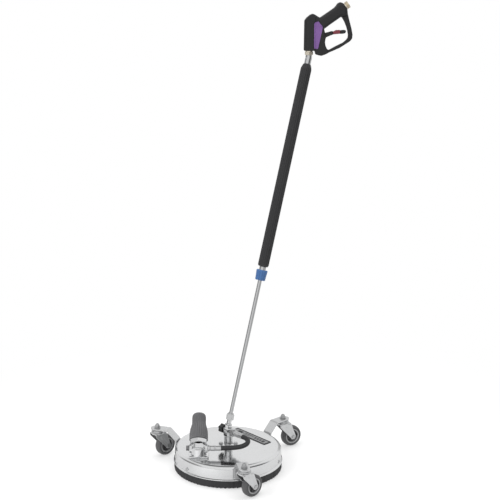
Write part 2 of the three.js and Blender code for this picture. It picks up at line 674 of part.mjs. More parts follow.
function buildGun() {
  const gun = frame(0, GUN_AXIS_Y, GUN_Z, GUN_YAW);
  node(gun, 'gun_outlet', gunOutlet(), brass());
  node(gun, 'gun_shell_left', gunShell(-1), gunBlack());
  node(gun, 'gun_shell_right', gunShell(1), gunBlack());
  node(gun, 'gun_valve_body', valveBody(), brass());
  node(gun, 'trigger', trigger(), gunBlack());
  node(gun, 'safety_latch', safetyLatch(), latchRed());
  node(gun, 'valve_pin', alongX(bar(2.2, 6.6, 33.4, 8), VALVE_PIN_Z), satinSteel());
}

// ---------------------------------------------------------------- assembly
buildDeckCover();
buildBrush();
buildLabel();
for (const castor of CASTORS) {
  buildCastorArm(castor);
  buildKingpin(castor);
  buildForkAndWheel(castor);
}
buildHingePost();
buildUnion();
buildPivotPin();
buildHose();
buildHandle();
buildFeedPipe();
buildRotor();
buildLance();
buildClampKnob();
buildGun();

export default root;
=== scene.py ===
"""Rotary surface cleaner: a round deck with a brush skirt on three castors, a rotor under it,
a grip on top, and a tilted lance that ends in a trigger gun.

Z is up and the floor is z = 0. The deck axis stands on the -Y side of the origin, the lance
leans towards +Y, and the grip stands on the -Y side of the deck. Shapes are drawn in
millimetres in their own frames; piece() places them and scales them to metres.
"""
import math

import bmesh
import bpy
import numpy as np
from mathutils import Matrix, Vector


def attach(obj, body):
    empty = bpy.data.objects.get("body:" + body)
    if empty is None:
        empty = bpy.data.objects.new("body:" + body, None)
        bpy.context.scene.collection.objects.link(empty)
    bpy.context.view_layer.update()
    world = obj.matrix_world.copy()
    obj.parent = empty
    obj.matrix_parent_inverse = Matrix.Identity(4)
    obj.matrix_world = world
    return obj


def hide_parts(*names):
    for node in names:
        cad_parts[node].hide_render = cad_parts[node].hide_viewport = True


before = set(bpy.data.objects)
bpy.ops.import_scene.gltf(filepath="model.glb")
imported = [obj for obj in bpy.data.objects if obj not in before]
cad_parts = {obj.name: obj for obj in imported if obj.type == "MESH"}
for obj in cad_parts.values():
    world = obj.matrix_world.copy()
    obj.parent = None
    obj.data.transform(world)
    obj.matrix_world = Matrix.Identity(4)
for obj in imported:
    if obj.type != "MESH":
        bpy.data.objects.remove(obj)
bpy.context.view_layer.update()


# ---------------------------------------------------------------- frames
def shift(x, y, z):
    return Matrix.Translation((x, y, z))


def turn(degrees, axis):
    return Matrix.Rotation(math.radians(degrees), 4, axis)


METRES = Matrix.Scale(0.001, 4)
ALONG_X = turn(90, "Y")              # a shape's +Z becomes +X
ALONG_Y = turn(-90, "X")             # a shape's +Z becomes +Y
DECK = shift(0, -114.595, 0)         # deck axis at floor height

PIVOT_Z = 106                        # height of the lance's tilt axis
LANCE_LEAN = 16.13                   # degrees from upright, towards +Y
TUBE_Y = -4.1                        # tube axis from the tilt axis, in the lance frame
PIVOT = DECK @ shift(0, 0, PIVOT_Z) @ ALONG_X
LANCE = DECK @ shift(0, 0, PIVOT_Z) @ turn(-LANCE_LEAN, "X")
TUBE = LANCE @ shift(0, TUBE_Y, 0)

YAW = 48                             # the grip block and the gun are both turned by this
HANDLE_X, HANDLE_Y = 2.5, -109.5
BORE_Z = 85.3                        # cross bore of the grip block
GRIP_Y, GRIP_Z, GRIP_LEAN = 8, 104.6, 45
HANDLE = DECK @ shift(HANDLE_X, HANDLE_Y, 0) @ turn(YAW, "Z")
BORE = HANDLE @ shift(0, 0, BORE_Z) @ ALONG_X
GRIP = HANDLE @ shift(0, GRIP_Y, GRIP_Z) @ turn(-GRIP_LEAN, "X")

GUN_Y, GUN_Z = 288.5, 1134
GUN = DECK @ shift(0, GUN_Y, GUN_Z) @ turn(YAW, "Z")
PIPE = GUN @ shift(25, 0, 68.2) @ turn(90 - 35.86, "Y")   # inlet, 35.86 degrees above the gun's +X


# ---------------------------------------------------------------- outlines
def polar(radius, degrees):
    return radius * math.cos(math.radians(degrees)), radius * math.sin(math.radians(degrees))


def fillet(points, radius, steps=4, closed=False):
    """Rounds each corner of a 2-D line; a point may carry its own radius as a third number."""
    out = []
    count = len(points)
    for i, point in enumerate(points):
        corner = np.array(point[:2], float)
        wanted = point[2] if len(point) > 2 else radius
        if (not closed and i in (0, count - 1)) or wanted <= 0:
            out.append(tuple(corner))
            continue
        back = np.array(points[i - 1][:2], float) - corner
        ahead = np.array(points[(i + 1) % count][:2], float) - corner
        back_length, ahead_length = np.linalg.norm(back), np.linalg.norm(ahead)
        back, ahead = back / back_length, ahead / ahead_length
        angle = math.acos(max(-1, min(1, float(back @ ahead))))
        if angle > math.radians(176):
            out.append(tuple(corner))
            continue
        trim = min(wanted / math.tan(angle / 2), 0.46 * back_length, 0.46 * ahead_length)
        fitted = trim * math.tan(angle / 2)
        middle = (back + ahead) / np.linalg.norm(back + ahead)
        centre = corner + middle * fitted / math.sin(angle / 2)
        start, end = corner + back * trim - centre, corner + ahead * trim - centre
        first = math.atan2(start[1], start[0])
        span = (math.atan2(end[1], end[0]) - first + math.pi) % (2 * math.pi) - math.pi
        for k in range(steps + 1):
            at = first + span * k / steps
            out.append((centre[0] + fitted * math.cos(at), centre[1] + fitted * math.sin(at)))
    return out


def soft(points, radius):
    return fillet(points, radius, 3, closed=True)


def rounded_rect(width, height, radius, steps=5, x=0.0, y=0.0):
    corners = [(-width / 2, -height / 2), (width / 2, -height / 2),
               (width / 2, height / 2), (-width / 2, height / 2)]
    return [(x + dx, y + dy) for dx, dy in fillet(corners, radius, steps, closed=True)]


def mirrored(half):
    """Closes a wheel profile by repeating it, reversed, on the other side of z = 0."""
    return half + [(radius, -z, *own) for radius, z, *own in reversed(half)]


# ---------------------------------------------------------------- shapes
# A shape is (vertices, faces, material index). Turned shapes stand on Z, from (radius, z) points.
def moved(shape, matrix):
    vertices, faces, index = shape
    rows = np.array(matrix)
    return vertices @ rows[:3, :3].T + rows[:3, 3], faces, index


def around(count):
    return np.arange(count) * 2 * math.pi / count


def circle(angles, radius, z):
    parts = np.broadcast_arrays(radius * np.cos(angles), radius * np.sin(angles), z)
    return np.stack(parts, 1)


def ring_rows(count, sides):
    return [range(k * sides, (k + 1) * sides) for k in range(count)]


def bridge(rows, closed=False):
    """Faces between rows of vertex numbers; a row that repeats one vertex makes triangles."""
    faces = []
    for a, b in zip(rows, rows[1:] + (rows[:1] if closed else [])):
        for i in range(len(a)):
            j = (i + 1) % len(a)
            quad = [a[i], a[j], b[j], b[i]]
            face = [v for n, v in enumerate(quad) if v != quad[n - 1]]
            if len(set(face)) > 2:
                faces.append(tuple(face))
    return faces


def loft(rings):
    """Skin over rings of equal count, with a cap on each end."""
    rows = ring_rows(len(rings), len(rings[0]))
    caps = [tuple(reversed(rows[0])), tuple(rows[-1])]
    return np.concatenate(rings), bridge(rows) + caps, 0


def lathe(profile, segments, closed=False, index=0, radial=None):
    """Turned about Z. radial(angles, radius, z) may change the radius."""
    angles = around(segments)
    vertices, rows = [], []
    for radius, z in profile:
        start = len(vertices)
        if abs(radius) < 1e-6 and not closed:
            rows.append([start] * segments)
            vertices.append((0, 0, z))
            continue
        rows.append(range(start, start + segments))
        vertices.extend(circle(angles, radial(angles, radius, z) if radial else radius, z))
    faces = bridge(rows, closed)
    if not closed:
        faces += [tuple(row) for row in (rows[0], rows[-1]) if row[0] != row[1]]
    return np.array(vertices, float), faces, index


def turned(points, edge, steps, segments, closed=False, index=0, radial=None):
    """Lathe shape whose corners are rounded by edge."""
    return lathe(fillet(points, edge, steps, closed), segments, closed, index, radial)


def rod(radius, low, high, segments=48, edge=0.0, steps=3):
    return turned([(0, low), (radius, low), (radius, high), (0, high)], edge, steps, segments)


def tube(inner, outer, low, high, segments, edge, steps=2, index=0):
    section = [(inner, low), (outer, low), (outer, high), (inner, high)]
    return turned(section, edge, steps, segments, closed=True, index=index)


def hexagon(across_flats, low, high, top=True, bottom=False, bore=0.0, chamfer=1.0):
    """Hexagon bar about Z with turned chamfers, so that each flat ends in an arc."""
    segments, levels = 144, 7
    half, step = across_flats / 2, math.pi / 3
    corner = half / math.cos(step / 2)
    angles = around(segments)
    flats = half / np.cos((angles + step / 2) % step - step / 2)
    flats = np.minimum(flats, corner * 0.988)
    rim = half * 0.955
    depth = (corner - rim) / 1.75 * chamfer
    plain = [(0.0, corner)]
    ramp = [(depth * i / levels, rim + (corner - rim) * i / levels) for i in range(levels)]
    ramp.append((depth, corner))
    stations = [(low + rise, cap) for rise, cap in (ramp if bottom else plain)]
    stations += [(high - rise, cap) for rise, cap in reversed(ramp if top else plain)]
    rings = [circle(angles, np.minimum(flats, cap), z) for z, cap in stations]
    if bore == 0:
        return loft(rings)
    rings += [circle(angles, bore, z) for z in (low, high)]
    *outside, bore_low, bore_high = ring_rows(len(rings), segments)
    return np.concatenate(rings), bridge(outside + [bore_high, bore_low], closed=True), 0


def smooth_line(points, count):
    """Centripetal Catmull-Rom line, evenly spaced, with the distance along it."""
    knots = [np.array(p, float) for p in points]
    knots = [2 * knots[0] - knots[1]] + knots + [2 * knots[-1] - knots[-2]]
    fine = []
    for i in range(1, len(knots) - 2):
        p0, p1, p2, p3 = knots[i - 1:i + 3]
        d0, d1, d2 = (max(np.linalg.norm(b - a) ** 0.5, 1e-4)
                      for a, b in ((p0, p1), (p1, p2), (p2, p3)))
        leave = ((p1 - p0) / d0 - (p2 - p0) / (d0 + d1) + (p2 - p1) / d1) * d1
        arrive = ((p2 - p1) / d1 - (p3 - p1) / (d1 + d2) + (p3 - p2) / d2) * d1
        for s in np.linspace(0, 1, 40, endpoint=False):
            fine.append((2 * s**3 - 3 * s**2 + 1) * p1 + (s**3 - 2 * s**2 + s) * leave
                        + (-2 * s**3 + 3 * s**2) * p2 + (s**3 - s**2) * arrive)
    fine.append(knots[-2])
    fine = np.array(fine)
    lengths = np.linalg.norm(np.diff(fine, axis=0), axis=1)
    distance = np.concatenate([[0], np.cumsum(lengths)])
    along = np.linspace(0, distance[-1], count)
    return np.stack([np.interp(along, distance, fine[:, c]) for c in range(3)], 1), along


def sweep(points, radius, steps, sides, rib=None, round_end=0.0):
    """Round section along a smooth line. rib(distance, angles) is added to the radius."""
    line, along = smooth_line(points, steps)
    tangents = np.gradient(line, axis=0)
    tangents /= np.linalg.norm(tangents, axis=1)[:, None]
    reference = np.array([0, 0, 1.0]) if abs(tangents[0][2]) < 0.9 else np.array([1.0, 0, 0])
    across = np.cross(tangents[0], reference)
    across /= np.linalg.norm(across)
    angles = around(sides)
    rings = []
    for centre, tangent, run in zip(line, tangents, along):
        across = across - (across @ tangent) * tangent
        across /= np.linalg.norm(across)
        other = np.cross(tangent, across)
        radii = np.full(sides, float(radius)) + (rib(run, angles) if rib else 0)
        to_end = min(run, along[-1] - run)
        if round_end and to_end < round_end:
            arc = math.sqrt(max(0, round_end**2 - (round_end - to_end) ** 2))
            radii = radii - round_end + arc
        spokes = np.cos(angles)[:, None] * across + np.sin(angles)[:, None] * other
        rings.append(centre + radii[:, None] * spokes)
    return loft(rings)


def prism(outline, low, high, bevel, segments, index=0):
    """Upright extrusion of a counter-clockwise outline with bevelled sharp edges."""
    n = len(outline)
    vertices = [(x, y, z) for z in (low, high) for x, y in outline]
    faces = [tuple(range(n - 1, -1, -1)), tuple(range(n, 2 * n))]
    faces += [(i, (i + 1) % n, n + (i + 1) % n, n + i) for i in range(n)]
    mesh = bpy.data.meshes.new("tmp")
    mesh.from_pydata(vertices, [], faces)
    bm = bmesh.new()
    bm.from_mesh(mesh)
    bmesh.ops.recalc_face_normals(bm, faces=bm.faces)
    edges = [e for e in bm.edges
             if len(e.link_faces) == 2 and e.calc_face_angle() > math.radians(40)]
    bmesh.ops.bevel(bm, geom=edges, offset=bevel, offset_type="OFFSET", segments=segments,
                    profile=0.5, affect="EDGES", clamp_overlap=True)
    bm.to_mesh(mesh)
    bm.free()
    vertices = np.array([tuple(v.co) for v in mesh.vertices], float)
    faces = [tuple(p.vertices) for p in mesh.polygons]
    bpy.data.meshes.remove(mesh)
    return vertices, faces, index


# ---------------------------------------------------------------- distance fields
# Cast and moulded pieces are signed distances, negative inside.
def union(a, b, blend):
    """Smooth union of two solids."""
    h = np.clip(0.5 + 0.5 * (b - a) / blend, 0, 1)
    return b * (1 - h) + a * h - blend * h * (1 - h)


def meet(a, b, blend):
    """Smooth overlap of two solids; with b negated, b is cut out of a."""
    return -union(-a, -b, blend)


def disc(x, y, radius):
    return np.sqrt(x * x + y * y) - radius


def inside_outline(x, y, points):
    """Signed distance to a closed 2-D outline."""
    x, y = np.broadcast_arrays(x, y)
    best = np.full(x.shape, 1e9)
    inside = np.zeros(x.shape, bool)
    for (ax, ay), (bx, by) in zip(points, points[1:] + points[:1]):
        ex, ey = bx - ax, by - ay
        wx, wy = x - ax, y - ay
        t = np.clip((wx * ex + wy * ey) / (ex * ex + ey * ey), 0, 1)
        best = np.minimum(best, (wx - ex * t) ** 2 + (wy - ey * t) ** 2)
        crosses = (ay > y) != (by > y)
        inside ^= crosses & (x < (bx - ax) * (y - ay) / (by - ay or 1e-12) + ax)
    distance = np.sqrt(best)
    return np.where(inside, -distance, distance)


def round_meet(a, b, radius):
    """Overlap of two solids whose shared edge is rounded."""
    a, b = a + radius, b + radius
    outside = np.sqrt(np.maximum(a, 0) ** 2 + np.maximum(b, 0) ** 2)
    return np.minimum(np.maximum(a, b), 0) + outside - radius


def extrude(flat, height, low, high, radius):
    """Extrusion of a 2-D field between two planes, its rims rounded by radius."""
    return round_meet(flat, np.abs(height - (low + high) / 2) - (high - low) / 2, radius)


def field_mesh(field, low, high, cell):
    """Surface nets on a grid, then each vertex is stepped onto the exact surface."""
    axes = [np.arange(low[c] - 2 * cell, high[c] + 3 * cell, cell) for c in range(3)]
    shape = [len(a) for a in axes]
    values = field(axes[0][:, None, None], axes[1][None, :, None], axes[2][None, None, :])
    values = np.broadcast_to(values, shape).copy()
    values[np.abs(values) < 1e-7] = 1e-7
    inside = values < 0

    def corner(grid, offset):
        return grid[tuple(slice(o, n - 1 + o) for o, n in zip(offset, shape))]

    corners = list(np.ndindex(2, 2, 2))
    total = sum(corner(inside, offset).astype(np.int8) for offset in corners)
    mixed = (total > 0) & (total < 8)
    cells = np.argwhere(mixed)
    number = np.full(mixed.shape, -1)
    number[mixed] = np.arange(len(cells))

    # each mixed cell gets one vertex, the mean of its edge crossings
    sums, counts = np.zeros((len(cells), 3)), np.zeros(len(cells))
    for start in corners:
        for axis in range(3):
            if start[axis]:
                continue
            end = list(start)
            end[axis] = 1
            first, last = corner(values, start)[mixed], corner(values, end)[mixed]
            crossed = (first < 0) != (last < 0)
            spots = np.tile(np.array(start, float), (crossed.sum(), 1))
            spots[:, axis] += first[crossed] / (first[crossed] - last[crossed])
            sums[crossed] += spots
            counts[crossed] += 1
    points = (cells + sums / counts[:, None]) * cell + np.array([a[0] for a in axes])

    # each crossed grid edge gets a quad from the four cells around it
    faces = []
    for axis in range(3):
        d, e = (axis + 1) % 3, (axis + 2) % 3
        hit = np.argwhere(np.diff(inside, axis=axis))
        hit = hit[(hit[:, d] > 0) & (hit[:, e] > 0)
                  & (hit[:, d] < shape[d] - 1) & (hit[:, e] < shape[e] - 1)]
        quads = []
        for back_d, back_e in ((1, 1), (0, 1), (0, 0), (1, 0)):
            near = hit.copy()
            near[:, d] -= back_d
            near[:, e] -= back_e
            quads.append(number[tuple(near.T)])
        quads = np.stack(quads, 1)
        flip = ~inside[tuple(hit.T)]
        quads[flip] = quads[flip][:, ::-1]
        faces.append(quads[(quads >= 0).all(1)])

    eps = cell * 0.08
    for _ in range(2):
        value = field(*points.T)
        slope = np.stack([field(*(points + nudge).T) - field(*(points - nudge).T)
                          for nudge in np.eye(3) * eps], 1) / (2 * eps)
        step = value / np.maximum((slope**2).sum(1), 0.25)
        points = points - np.clip(step, -0.35 * cell, 0.35 * cell)[:, None] * slope
    return points, [tuple(quad) for quad in np.concatenate(faces).tolist()], 0


# ---------------------------------------------------------------- materials
def node(tree, kind, inputs=None, **options):
    """Adds a shader node; each input takes a value or another node's output."""
    made = tree.nodes.new(kind)
    for option, value in options.items():
        setattr(made, option, value)
    for key, value in (inputs or {}).items():
        if isinstance(value, bpy.types.NodeSocket):
            tree.links.new(value, made.inputs[key])
        else:
            made.inputs[key].default_value = value
    return made


def map_range(tree, value, source, target=(0.0, 1.0), **options):
    inputs = dict(zip(("From Min", "From Max", "To Min", "To Max"), (*source, *target)))
    return node(tree, "ShaderNodeMapRange", {**inputs, "Value": value}, **options).outputs[0]


def noise(tree, vector, **inputs):
    return node(tree, "ShaderNodeTexNoise", {"Vector": vector, **inputs}).outputs["Fac"]


def worn_edges(tree, colour, grain, tint, amount, radius):
    """Changes the colour to tint near edges, broken up by the grain."""
    bevel = node(tree, "ShaderNodeBevel", {"Radius": radius}, samples=4)
    geometry = node(tree, "ShaderNodeNewGeometry")
    dot = node(tree, "ShaderNodeVectorMath",
               {0: bevel.outputs[0], 1: geometry.outputs["Normal"]}, operation="DOT_PRODUCT")
    worn = map_range(tree, dot.outputs["Value"], (0.995, 0.88), (0.0, amount))
    chips = map_range(tree, grain, (0.38, 0.6))
    mask = node(tree, "ShaderNodeMath", {0: worn, 1: chips}, operation="MULTIPLY", use_clamp=True)
    mix = node(tree, "ShaderNodeMix", {0: mask.outputs[0]}, data_type="RGBA")
    tree.links.new(colour, mix.inputs[6])
    mix.inputs[7].default_value = (*tint, 1)
    return mix.outputs[2]


def surface(name, dark, light, rough, metal=0.0, scale=60, stretch=(1, 1, 1), turned_x=0.0,
            blotch=0.35, bump=0.1, depth=0.00012, fine=6, edge_tint=None, edge_amount=0.6,
            edge_radius=0.0006, coat=0.0, specular=0.5, sheen=0.0, waves=None):
    """Procedural finish with grain, colour drift, roughness drift, bump and worn edges.

    scale sets the size of the grain, stretch and turned_x (degrees) its direction, and blotch
    the strength of the broad drift. fine is the bump's frequency against the grain's; depth
    and edge_radius are in metres. waves is the scale, strength and depth of a soft undulation.
    """
    material = bpy.data.materials.new(name)
    material.use_nodes = True
    tree = material.node_tree
    tree.nodes.clear()
    position = node(tree, "ShaderNodeTexCoord").outputs["Object"]
    rotation = (math.radians(turned_x), 0, 0)
    mapping = {"Vector": position, "Scale": stretch, "Rotation": rotation}
    stretched = node(tree, "ShaderNodeMapping", mapping).outputs[0]
    grain = noise(tree, stretched, Scale=scale * 10, Detail=5.0, Roughness=0.62)
    broad = noise(tree, position, Scale=scale * 0.35, Detail=3.0, Roughness=0.5)
    drift = node(tree, "ShaderNodeMath", {0: broad, 1: 2 * blotch, 2: -blotch},
                 operation="MULTIPLY_ADD")
    pattern = node(tree, "ShaderNodeMath", {0: grain, 1: drift.outputs[0]},
                   operation="ADD", use_clamp=True).outputs[0]
    mix = node(tree, "ShaderNodeMix", {0: pattern, 6: (*dark, 1), 7: (*light, 1)},
               data_type="RGBA")
    colour = mix.outputs[2]
    roughness = map_range(tree, pattern, (0.3, 0.7), rough)
    if edge_tint:
        colour = worn_edges(tree, colour, grain, edge_tint, edge_amount, edge_radius)
    height = noise(tree, stretched, Scale=scale * 10 * fine, Detail=3.0)
    normal = node(tree, "ShaderNodeBump",
                  {"Strength": bump, "Distance": depth, "Height": height}).outputs[0]
    if waves:
        size, strength, distance = waves
        height = noise(tree, position, Scale=size, Detail=1.0)
        normal = node(tree, "ShaderNodeBump", {"Strength": strength, "Distance": distance,
                                               "Height": height, "Normal": normal}).outputs[0]
    shader = node(tree, "ShaderNodeBsdfPrincipled", {
        "Base Color": colour, "Roughness": roughness, "Normal": normal, "Metallic": metal,
        "Specular IOR Level": specular, "Coat Weight": coat, "Coat Roughness": 0.15,
        "Sheen Weight": sheen})
    node(tree, "ShaderNodeOutputMaterial", {0: shader.outputs[0]})
    return material


STEEL_DECK = surface(
    "polished_deck_steel", dark=(0.60, 0.605, 0.61), light=(0.74, 0.745, 0.75),
    rough=(0.07, 0.16), metal=1.0, scale=30, blotch=0.3, bump=0.015, depth=0.00006, fine=5,
    waves=(16, 0.12, 0.002))
STEEL_MIRROR = surface(
    "polished_steel", dark=(0.56, 0.565, 0.57), light=(0.76, 0.765, 0.77),
    rough=(0.05, 0.14), metal=1.0, scale=50, blotch=0.3, bump=0.02, depth=0.00006,
    edge_tint=(0.9, 0.9, 0.9), edge_amount=0.5)
STEEL_TUBE = surface(
    "drawn_tube_steel", dark=(0.42, 0.425, 0.43), light=(0.64, 0.645, 0.65),
    rough=(0.10, 0.22), metal=1.0, scale=45, stretch=(6, 6, 0.15), turned_x=LANCE_LEAN,
    blotch=0.2, bump=0.05, depth=0.00005)
STEEL_SATIN = surface(
    "satin_steel", dark=(0.50, 0.505, 0.51), light=(0.72, 0.725, 0.73),
    rough=(0.26, 0.40), metal=1.0, blotch=0.3, bump=0.08, depth=0.00008,
    edge_tint=(0.72, 0.72, 0.73))
STEEL_ZINC = surface(
    "zinc_steel", dark=(0.34, 0.345, 0.35), light=(0.60, 0.605, 0.61),
    rough=(0.28, 0.45), metal=1.0, scale=45, blotch=0.5, depth=0.0001,
    edge_tint=(0.8, 0.8, 0.8))
STEEL_DARK = surface(
    "dark_steel", dark=(0.16, 0.16, 0.165), light=(0.28, 0.28, 0.285),
    rough=(0.3, 0.5), metal=1.0, blotch=0.4, depth=0.0001,
    edge_tint=(0.55, 0.55, 0.56), edge_amount=0.7, edge_radius=0.0005)
BRASS = surface(
    "pale_brass", dark=(0.70, 0.63, 0.51), light=(0.88, 0.82, 0.71),
    rough=(0.18, 0.34), metal=1.0, bump=0.06, depth=0.00008,
    edge_tint=(0.84, 0.78, 0.66), edge_amount=0.7, edge_radius=0.0005)
BRISTLE = surface(
    "bristle", dark=(0.012, 0.012, 0.013), light=(0.045, 0.045, 0.047),
    rough=(0.55, 0.8), scale=40, stretch=(4, 4, 0.3), blotch=0.3, bump=0.4, depth=0.0004, fine=2)
GRIP_RUBBER = surface(
    "grip_rubber", dark=(0.080, 0.080, 0.083), light=(0.150, 0.150, 0.155),
    rough=(0.55, 0.78), scale=50, bump=0.25, depth=0.0002,
    edge_tint=(0.26, 0.26, 0.265), edge_radius=0.0008, sheen=0.15)
SLEEVE_RUBBER = surface(
    "sleeve_rubber", dark=(0.013, 0.013, 0.014), light=(0.036, 0.036, 0.038),
    rough=(0.42, 0.62), scale=50, bump=0.22, depth=0.0002,
    edge_tint=(0.13, 0.13, 0.135), edge_radius=0.0008, specular=0.4)
HOSE_RUBBER = surface(
    "hose_rubber", dark=(0.010, 0.010, 0.011), light=(0.032, 0.032, 0.034),
    rough=(0.30, 0.48), bump=0.18, depth=0.00015)
GUN_BLACK = surface(
    "gun_plastic", dark=(0.009, 0.009, 0.010), light=(0.022, 0.022, 0.023),
    rough=(0.32, 0.46), scale=70, blotch=0.3, bump=0.3, depth=0.00018, fine=4,
    edge_tint=(0.075, 0.075, 0.078), edge_amount=0.55, edge_radius=0.0009, specular=0.35)
KNOB_BLACK = surface(
    "knob_plastic", dark=(0.008, 0.008, 0.009), light=(0.022, 0.022, 0.023),
    rough=(0.28, 0.45), scale=70, blotch=0.3, bump=0.2,
    edge_tint=(0.10, 0.10, 0.10), edge_radius=0.0007)
PURPLE = surface(
    "purple_inlay", dark=(0.15, 0.065, 0.24), light=(0.25, 0.125, 0.38),
    rough=(0.34, 0.5), bump=0.18, edge_tint=(0.42, 0.30, 0.60), edge_radius=0.0008)
RED = surface(
    "red_latch", dark=(0.13, 0.010, 0.022), light=(0.24, 0.020, 0.040),
    rough=(0.22, 0.38), blotch=0.3, bump=0.08, depth=0.0001, coat=0.3,
    edge_tint=(0.50, 0.12, 0.14), edge_amount=0.5)
BLUE = surface(
    "blue_nut", dark=(0.040, 0.115, 0.30), light=(0.075, 0.19, 0.42),
    rough=(0.32, 0.5), bump=0.15, edge_tint=(0.20, 0.34, 0.58), edge_radius=0.0007)
TYRE = surface(
    "tyre_rubber", dark=(0.060, 0.060, 0.062), light=(0.118, 0.118, 0.121),
    rough=(0.5, 0.72), scale=50, blotch=0.45, bump=0.25, depth=0.0002,
    edge_tint=(0.26, 0.26, 0.26), edge_amount=0.5, edge_radius=0.0008)
WHEEL_RIM = surface(
    "wheel_rim", dark=(0.36, 0.365, 0.37), light=(0.52, 0.525, 0.53),
    rough=(0.32, 0.48), metal=0.4, bump=0.12, depth=0.0001,
    edge_tint=(0.7, 0.7, 0.7), edge_amount=0.5)
WHEEL_CENTRE = surface(
    "wheel_centre", dark=(0.035, 0.035, 0.037), light=(0.075, 0.075, 0.078),
    rough=(0.45, 0.65), bump=0.15, edge_tint=(0.16, 0.16, 0.16), edge_amount=0.5)
PLATE = surface(
    "plate_aluminium", dark=(0.20, 0.203, 0.206), light=(0.32, 0.323, 0.326),
    rough=(0.35, 0.5), metal=0.6, scale=40, stretch=(0.2, 8, 1), blotch=0.2, bump=0.06,
    depth=0.00005)
PLATE_DARK = surface(
    "plate_border", dark=(0.030, 0.030, 0.032), light=(0.060, 0.060, 0.064),
    rough=(0.6, 0.8), blotch=0.3, depth=0.00008, specular=0.12)


def piece(name, shapes, place, materials, body="deck", replaced="", sharp=38,
          weighted=True):
    """It replaces the CAD piece called by its own name without the last word, unless another
    is given; None replaces nothing. sharp is the angle from which edges shade hard.
    """
    vertices, faces, indices = [], [], []
    for points, polygons, index in shapes:
        base = len(vertices)
        vertices.extend(map(tuple, points))
        faces.extend(tuple(i + base for i in polygon) for polygon in polygons)
        indices.extend([index] * len(polygons))
    mesh = bpy.data.meshes.new(name)
    mesh.from_pydata(vertices, [], faces)
    mesh.transform(METRES @ place)
    for material in materials:
        mesh.materials.append(material)
    mesh.polygons.foreach_set("material_index", indices)
    bm = bmesh.new()
    bm.from_mesh(mesh)
    bmesh.ops.recalc_face_normals(bm, faces=bm.faces)
    bm.to_mesh(mesh)
    bm.free()
    mesh.polygons.foreach_set("use_smooth", [True] * len(mesh.polygons))
    mesh.set_sharp_from_angle(angle=math.radians(sharp))
    mesh.validate()
    made = bpy.data.objects.new(name, mesh)
    bpy.context.scene.collection.objects.link(made)
    if weighted:
        even = made.modifiers.new("even_normals", "WEIGHTED_NORMAL")
        even.keep_sharp = True
        even.weight = 50
    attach(made, body)
    if replaced is not None:
        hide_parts(replaced or name.rsplit("_", 1)[0])


# ---------------------------------------------------------------- deck and brush
DECK_PROFILE = [   # radius, z, corner radius: over the top, round the rim and back inside
    (0, 62.5), (147.5, 62.5, 10), (147.5, 27.2, 2.2), (150.9, 25.2, 0.7), (151.0, 23.0, 0.5),
    (149.6, 22.5, 0.3), (145.7, 22.5, 0.3), (145.5, 60.5, 8), (0, 60.5)]
piece("deck_cover_skin", [turned(DECK_PROFILE, 1.0, 10, 240)], DECK, [STEEL_DECK])

SKIRT_TOP = 21.9


def bristles():
    """Band of upright strands with a ragged lower edge."""
    rng = np.random.default_rng(7)
    count = 1080
    angles = around(count)
    strand = rng.normal(0, 0.28, count)
    clump = 0.35 * np.sin(angles * 47 + 1.3) * np.sin(angles * 31)
    ragged = np.abs(rng.normal(0, 0.9, count)) + 0.5 * (1 + np.sin(angles * 83))
    outer = 148.9 + np.clip(strand + clump, -0.7, 0.7)
    inner = 142.7 - np.clip(strand, -0.6, 0.6)
    stations = [   # radius, z: down the outside, across the tips and up the inside
        (148.6, SKIRT_TOP), (outer - 0.3, 20.6), (outer, 16.0),
        (outer + np.roll(strand, 3) * 0.3, 11.5), (outer + np.roll(strand, 1) * 0.4, 7.5),
        (outer + np.roll(strand, 2) * 0.6, 4.0 + ragged * 0.3), (outer - 0.5, 1.0 + ragged),
        ((outer + inner) / 2 + 0.8, 1.0 + np.roll(ragged, 3) * 0.7),
        (inner + 0.4, 1.0 + np.roll(ragged, 5)), (inner, 8), (142.9, SKIRT_TOP)]
    rings = [circle(angles, radius, z) for radius, z in stations]
    return np.concatenate(rings), bridge(ring_rows(len(rings), count), closed=True), 0


piece("brush_skirt_strands", [bristles(), tube(142, 144.8, SKIRT_TOP, 40, 180, edge=0.4)],
      DECK, [BRISTLE], sharp=60, weighted=False)
piece("brush_clamp_band", [tube(139.2, 141.6, 28, 40, 180, edge=0.5)],
      DECK, [STEEL_SATIN], replaced="brush_clamp_ring")

SCREW_PROFILE = [   # radius, distance from the deck axis, corner radius
    (0, 136.8), (2.4, 136.8), (2.4, 147.6), (4.7, 147.6, 0.2), (4.5, 149.2, 0.8),
    (2.6, 150.7, 1.2), (1.9, 150.9, 0.2), (1.7, 149.4, 0.1), (0, 149.4)]
for i, angle in enumerate((30, 150, 270)):
    piece(f"brush_screw_{i + 1}_head", [turned(SCREW_PROFILE, 0.3, 4, 48)],
          DECK @ turn(angle, "Z") @ shift(0, 0, 34) @ ALONG_X, [STEEL_SATIN])


# ---------------------------------------------------------------- deck plate
PLATE_X, PLATE_Y = -5, 90
BORDER_LENGTH, BORDER_DEPTH, BORDER_RADIUS, BORDER_WIDTH = 139.6, 27.6, 2.9, 4.2
PLATE_BARS = [   # x from, x to, y from, y to, from the plate's centre
    (-52, -34, -5.5, 5.5), (-27, 8, 1.8, 4.6), (-27, -2, -4.4, -2.4), (16, 22, -4, 4),
    (26, 32, -4, 4), (36, 42, -4, 4), (47, 55, -5, 5)]


